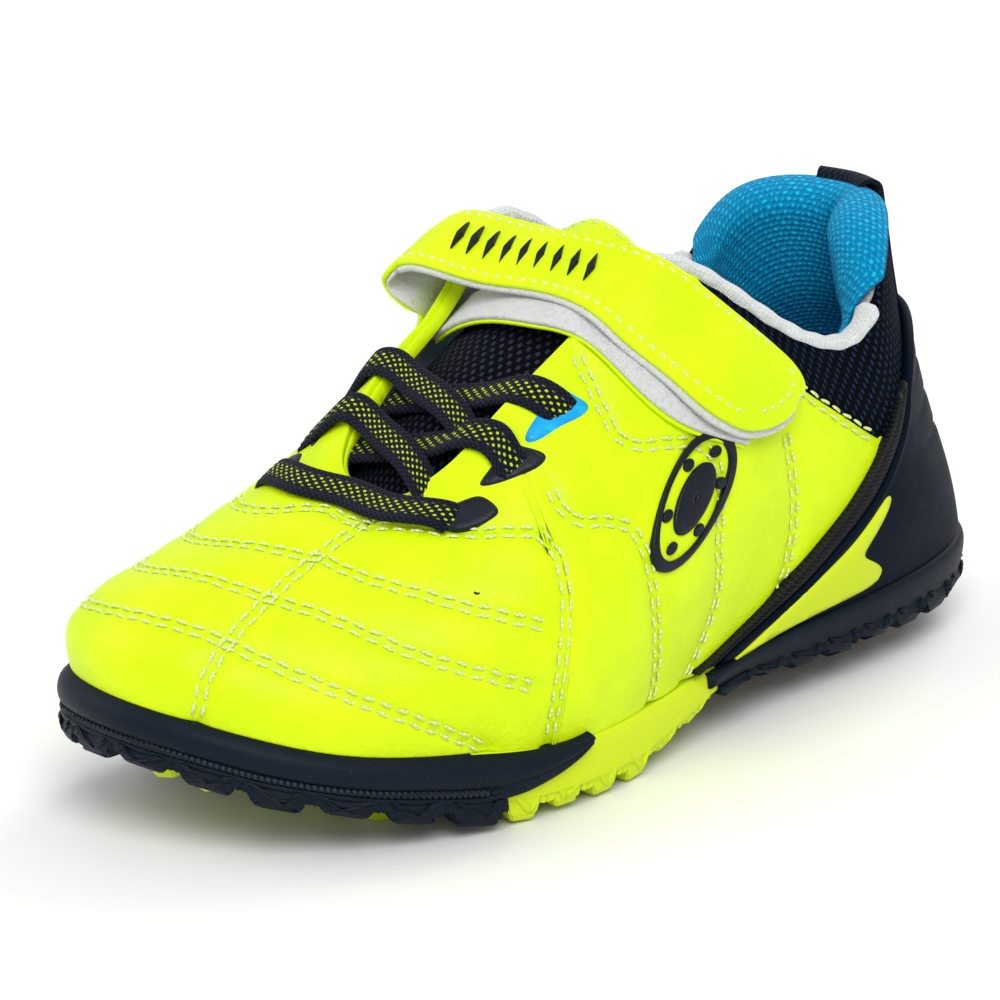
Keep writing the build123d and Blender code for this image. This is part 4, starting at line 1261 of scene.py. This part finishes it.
tongue = surfaceSheet("tonguePad", lambda u, v: tongueSurface(u * 1.14 - 0.11, v), finePlaces(60, 46, 2.2),
                      finePlaces(100, 90, 2.2), -0.3, -4.2,
                      finishes["tongueNet"], 1.9, tonguePuff)
fit(tongue, "tongue", "tongue_mesh", "tongue_foam")
tongueBack = surfaceSheet("tongueLining", tongueSurface, finePlaces(40, 42, 0.8), finePlaces(70, 90, 0.8),
                          -4.35, -5.1,
                          finishes["whiteKnit"], 0.3)
fit(tongueBack, "tongue", "tongue_lining")
topPart = lambda u, v: tongueSurface(0.1 + 0.8 * u, 0.84 + 0.15 * v)
topPatch = surfaceSheet("tongueTopPatch", topPart, finePlaces(30, 30, 0.5), finePlaces(16, 14, 0.5), 1.9,
                        0.2, finishes["neonStrap"], 0.4)
fit(topPatch, "tongue", "tongue_top_patch")
topStitches = [[(0.06, 0.12), (0.3, 0.12), (0.7, 0.12), (0.94, 0.12)],
               [(0.06, 0.88), (0.3, 0.88), (0.7, 0.88), (0.94, 0.88)]]
sewn("tongueStitching", topStitches, topPart, 1.9, finishes["thread"], "tongue", "tongue_top_patch", False)
print("tongue made")


# ---- strap ----

strap = dict(lift=4.7, corner=7.5, width=19.0)
strapRows = [
    [(-30, 3, 88.5), (-24, 4, 92.2), (-10, 5, 92.5), (3, 6, 92.5), (15, 9, 91.5)]
    + [raised(t, h, strap["lift"]) for t, h in ((5.85, 3.8), (6.08, 3.52), (6.47, 3.26), (6.9, 3.05))],
    [(-31, -4, 86), (-24, -3, 89.5), (-10, -3, 89.3), (3, 0, 89), (16, 2, 87.8)]
    + [raised(t, h, strap["lift"]) for t, h in ((5.5, 3.66), (5.72, 3.28), (6.1, 2.98), (6.62, 2.72))],
    [(-31, -12, 82.5), (-24, -11, 85.5), (-10, -9.5, 84.5), (3, -6.5, 84.8), (17, -6.5, 84)]
    + [raised(t, h, strap["lift"]) for t, h in ((5.03, 3.52), (5.29, 3.02), (5.63, 2.53), (6.28, 2.2))],
]
strapSurface = gridSurface(strapRows)
strapLength = 84.0


def strapShape(inset):      # the whole strap with a rounded tip, inset from its edges in millimetres
    def surface(u, v):
        end = 1 - inset / strapLength
        along = u * end
        left = np.clip((end - along) * strapLength / strap["corner"], 0, 1)
        cut = (1 - np.sqrt(np.clip(1 - (1 - left) ** 2, 0,
                                   1))) * strap["corner"] / strap["width"] + inset / strap["width"]
        return strapSurface(along, cut + (1 - 2 * cut) * v)
    return surface


tipDense = np.unique(np.concatenate([np.linspace(0.06, 0.88, 90), 1 - 0.12 * np.linspace(1, 0, 30) ** 2]))
tipDense = np.minimum(tipDense, 0.9995)


def strapWaves(points, u, v):       # it ripples a little where it is pulled down
    return -(0.35 * np.sin(u * 21 + v * 2) * np.sin(v * 3.1) * np.clip(1 - u, 0, 1))


face = surfaceSheet("strapFace", strapShape(0), tipDense, finePlaces(24, 17, 0.7), -0.1, 1.0,
                    finishes["neonStrap"], 0.5, strapWaves,
                    (False, True))
fit(face, "strap", "strap_face")
strapLining = surfaceSheet("strapLining", strapShape(-0.75), tipDense, finePlaces(20, 17, 0.5), 1.02, 2.0,
                           finishes["loopFleece"], 0.45, None,
                           (False, True))
fit(strapLining, "strap", "strap_lining")
hook = surfaceSheet("hookTape", lambda u, v: strapSurface(0.72 + 0.25 * u, 0.12 + 0.76 * v),
                    finePlaces(30, 20, 0.5),
                    finePlaces(14, 12, 0.5), 1.75, 2.4, finishes["hookTape"], 0.2)
fit(hook, "strap", "hook_tape")
edgeShape = strapShape(1.9)
edgeRows = [[(x, 0.0) for x in np.linspace(0.03, 0.93, 9)], [(x, 1.0) for x in np.linspace(0.03, 0.93, 9)],
            [(0.96, 0.0), (0.985, 0.0), (0.998, 0.12), (0.999, 0.5), (0.998, 0.88), (0.985, 1.0),
             (0.96, 1.0)]]
sewn("strapStitching", edgeRows, edgeShape, 0.05, finishes["thread"], "strap", "strap_face", False, 2.6, -1)

lozenges = []
for k in range(9):      # a plain row of raised lozenges stands for a name
    u0 = 0.17 + 0.034 * k
    width, high = 0.0145, 0.22

    def lozenge(u, v, u0=u0):
        u, v = np.asarray(u, float), np.asarray(v, float)
        x, y = 2 * u - 1, 2 * v - 1
        return strapSurface(u0 + width * (x - y) * 0.5 + width * 0.5 * y, 0.5 + high * (x + y) * 0.5)
    lozenges.append(lozenge)
for k, lozenge in enumerate(lozenges):
    mark = surfaceSheet("strapMark%d" % k, lozenge, np.linspace(0, 1, 9), np.linspace(0, 1, 9), -0.75, 0.1,
                        finishes["navyFilm"], 0.3)
    fit(mark, "strap", *(["strap_emblem"] if k == 0 else []), slot="strap_emblem")

underlayRows = [
    [(-19, 0, 77.5), (-12, 0, 80.8), (-3, 0, 82.8), (6, 1, 84.6), (13, 3, 86.9), raised(5.5, 3.8, 1.7),
     raised(5.75, 3.5, 1.5), raised(6.1, 3.2, 1.4), raised(6.5, 2.95, 1.4)],
    [(-20, -5, 73.8), (-12, -5.6, 78.4), (-3, -5.6, 81), (6, -5.2, 82), (13, -4, 82.8),
     raised(5.12, 3.72, 1.7),
     raised(5.4, 3.32, 1.5), raised(5.8, 2.98, 1.4), raised(6.3, 2.7, 1.4)],
    [(-20, -10, 71), (-12.5, -11, 75.8), (-3, -11.4, 79), (6, -10.6, 79.8), (12.5, -9.2, 79.6),
     raised(4.8, 3.72, 1.7),
     raised(5.02, 3.12, 1.5), raised(5.36, 2.6, 1.4), raised(5.98, 2.22, 1.4)],
]
underlaySurface = gridSurface(underlayRows)
underlay = surfaceSheet("strapUnderlay", underlaySurface, finePlaces(90, 60, 0.6), finePlaces(24, 12, 0.5),
                        -0.7, 0.35,
                        finishes["loopFleece"], 0.5)
fit(underlay, "shoe", "strap_underlay")
underside = surfaceSheet("strapUnderside", lambda u, v: underlaySurface(u, v * 1.035 - 0.01),
                         finePlaces(90, 60, 0.6),
                         finePlaces(24, 12, 0.5), 0.36, 1.0, finishes["neonStrap"], 0.3)
fit(underside, "shoe", slot="strap_underlay")
loop = surfaceSheet("loopTape", lambda u, v: underlaySurface(0.7 + 0.28 * u, 0.06 + 0.88 * v),
                    finePlaces(40, 20, 0.5),
                    finePlaces(16, 9, 0.5), -0.75, 0.0, finishes["loopFleece"], 0.4)
fit(loop, "shoe", "loop_tape")

riserRows = [
    [raised(14.15, 3.25, 1.5), raised(14.25, 3.6, 1.9), (-29.6, 3, 83.4)],
    [raised(14.5, 3.15, 1.5), raised(14.6, 3.55, 1.9), (-29.4, -4.5, 79.6)],
    [raised(14.85, 3.0, 1.5), raised(15.0, 3.5, 1.9), (-28.2, -12.5, 75.4)],
]
riserSurface = gridSurface(riserRows)
riser = surfaceSheet("strapRiser", lambda u, v: riserSurface(0.8 * u, v), finePlaces(24, 18, 0.5),
                     finePlaces(20, 17, 0.5), 0.4, -0.6, finishes["neonStrap"], 0.4)
fit(riser, "shoe", "strap_riser")
foldRows = []
# the strap rolls over in a round loop at its inner end and comes down outside the riser
for v in (0.0, 0.5, 1.0):
    foot, low, start = riserSurface(0.78, v), riserSurface(0.42, v), strapSurface(0.0, v)
    drop = foot - start
    foldRows.append([strapSurface(0.13, v), strapSurface(0.06, v), start + np.array([0, 0, -0.6]),
                     start + drop * (0, 0.35, 0.35) + np.array([-1.7, 0, 0]),
                         start + drop * (0, 0.72, 0.72) + np.array([-0.9, 0, 0]),
                     foot + np.array([-0.9, 0, 0]), low + np.array([-0.5, 0, 0])])
foldSurface = gridSurface(foldRows)
foldPart = lambda u, v: foldSurface(0.17 + 0.83 * u, v)
for name, slot, top, bottom, finishName in (("strapFold", "strap_face", 0.1, -1.0, "neonStrap"),
                                            ("foldLining", "strap_lining", -1.02, -1.9, "loopFleece")):
    fold = surfaceSheet(name, foldPart, np.linspace(0, 1, 60), finePlaces(24, 17, 0.6), top, bottom,
                        finishes[finishName], 0.45,
                        None, (False, True))
    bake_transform(fold)
print("strap made")


# ---- laces ----

laces = dict(width=7.0, thickness=1.5)
laceRuns = {
    "lace_bar": ((0, 0.9, 0.42),
                 [raised(17.05, 2.85, -0.4), raised(17.2, 3.08, 1.2), raised(17.8, 3.45, 1.5),
                     raised(18.5, 3.66, 1.4),
                                  raised(19.2, 3.74, 1.4), raised(20.1, 3.66, 1.4), raised(20.95, 3.44, 1.3),
                                      raised(21.5, 3.24, 1.1),
                                  raised(21.72, 3.12, -0.4)]),
    "lace_upper_lateral": ((0.08, 0.8, 0.58),
                           [raised(4.36, 3.4, -0.4), raised(4.28, 3.56, 0.95), raised(4.16, 3.8, 1.1),
                               (12.6, -21.8, 71.2),
                                               (7, -23, 69.2), (1, -24.4, 67.6), (-6, -26.2, 66.4),
                                                   (-13, -28.2, 64.8)]),
    "lace_lower_lateral": ((0.08, 0.8, 0.58),
                           [raised(3.66, 3.3, -0.4), raised(3.6, 3.46, 0.95), raised(3.52, 3.74, 1.1),
                               (11.2, -32, 65),
                                               (6, -33.4, 62.4), (0, -35.2, 60.6), (-5, -36.8, 59.8),
                                                   (-11, -38.6, 58.6)]),
    "lace_upper_medial": ((-0.14, 0.86, 0.5),
                          [raised(15.95, 3.3, 0.4), raised(15.98, 3.66, 1.4), raised(16.03, 3.93, 1.6),
                              (-13.4, -26, 71.2),
                                               (-8, -27, 69.8), (-2, -28, 68.9), (4, -29, 67.4),
                                                   (9.5, -30.4, 64.6), (13, -31.6, 61.6)]),
    "lace_lower_medial": ((-0.14, 0.86, 0.5),
                          [raised(16.6, 3.2, 0.4), raised(16.62, 3.62, 1.4), raised(16.68, 3.93, 1.6),
                              (-10.6, -36.4, 64.6),
                                               (-6, -37.2, 63), (0, -38.4, 61.6), (5, -39.6, 59.6),
                                                   (9.5, -41, 56.8), (12.5, -42, 54.5)]),
}


# flat elastic tape: full edges, thin rounded sides, ribs along it
def lacePiece(name, width, points, node):
    points = np.array(points, float)
    width = np.array(width) / np.linalg.norm(width) * laces["width"] / 2
    surface = gridSurface([points - width, points, points + width])
    path = np.linspace(0, 1, 90)
    angle = np.linspace(0, 2 * math.pi, 40, endpoint=False)
    across, rise = np.cos(angle), np.sin(angle)
    across = np.sign(across) * np.abs(across) ** 0.7
    rise = np.sign(rise) * np.abs(rise) ** 0.55
    u, k = np.meshgrid(path, np.arange(len(angle)), indexing="ij")
    v = 0.5 + 0.5 * across[k]
    ribs = 0.12 * np.cos(across[k] * 5 * math.pi) + 0.1 * np.abs(across[k]) ** 8
    normals = facing(surface, u, v)
    spots = surface(u, v) + normals * (rise[k] * (laces["thickness"] / 2 + ribs))[..., None]
    run = lengths(spots, 0)[:, :1] + 0 * v
    cloth = np.stack([run, across[k] * laces["width"] / 2, rise[k]], -1).reshape(-1, 3) * mm
    nv = len(angle)
    faces = gridFaces(len(path), nv, 0, False)
    faces += [(i * nv + nv - 1, (i + 1) * nv + nv - 1, (i + 1) * nv, i * nv) for i in range(len(path) - 1)]
    faces += [tuple(range(nv)), tuple(range(len(path) * nv - 1, (len(path) - 1) * nv - 1, -1))]
    fit(makePiece(name, spots.reshape(-1, 3), faces, finishes["laceTape"], cloth), "shoe", node)


for node, (width, points) in laceRuns.items():
    words = node.split("_")
    lacePiece(words[0] + "".join(word.capitalize() for word in words[1:]), width, points, node)

for node, finishName in (("toe_puff", "board"), ("heel_counter", "board"), ("collar_foam", "loopFleece"),
                         ("heel_foam", "board")):
    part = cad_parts[node]
    if not part.material_slots:
        part.data.materials.append(None)
    for place in part.material_slots:
        place.material = finishes[finishName]
print("laces made")


# ---- floor, light and last things ----

def lamp(name, place, target, size, power):
    data = bpy.data.lights.new(name, "AREA")
    data.shape, data.size, data.energy = "DISK", size, power
    light = bpy.data.objects.new(name, data)
    aim = (Vector(target) - Vector(place)).to_track_quat("-Z", "Y")
    light.matrix_world = Matrix.Translation(place) @ aim.to_matrix().to_4x4()
    bpy.context.scene.collection.objects.link(light)


studio = dict(key=(0.75, -0.55, 1.05), fill=(-0.95, -0.75, 0.7), back=(-0.2, 1.0, 0.85), target=(0, 0, 0.04))
lamp("keyLight", studio["key"], studio["target"], 0.9, 11)
lamp("fillLight", studio["fill"], studio["target"], 1.0, 5)
lamp("backLight", studio["back"], studio["target"], 0.8, 6)
world = bpy.data.worlds.new("studio")
world.use_nodes = True
world.node_tree.nodes["Background"].inputs["Color"].default_value = (1, 1, 1, 1)
world.node_tree.nodes["Background"].inputs["Strength"].default_value = 0.62
bpy.context.scene.world = world

bpy.context.scene.view_settings.view_transform = "Standard"     # keeps the bright yellow as bright as it is

paper = Finish("paper")
paperGrain = paper.noise(0.02, 2.0, 0.5)
paper.finish(paper.mix(paperGrain * 0.1, (0.9, 0.9, 0.9, 1), (0.84, 0.84, 0.84, 1)), 0.6)
floor = makePiece("floor", [(-2500, -2500, 0), (2500, -2500, 0), (2500, 2500, 0), (-2500, 2500, 0)],
                  [(0, 1, 2, 3)], paper.material)
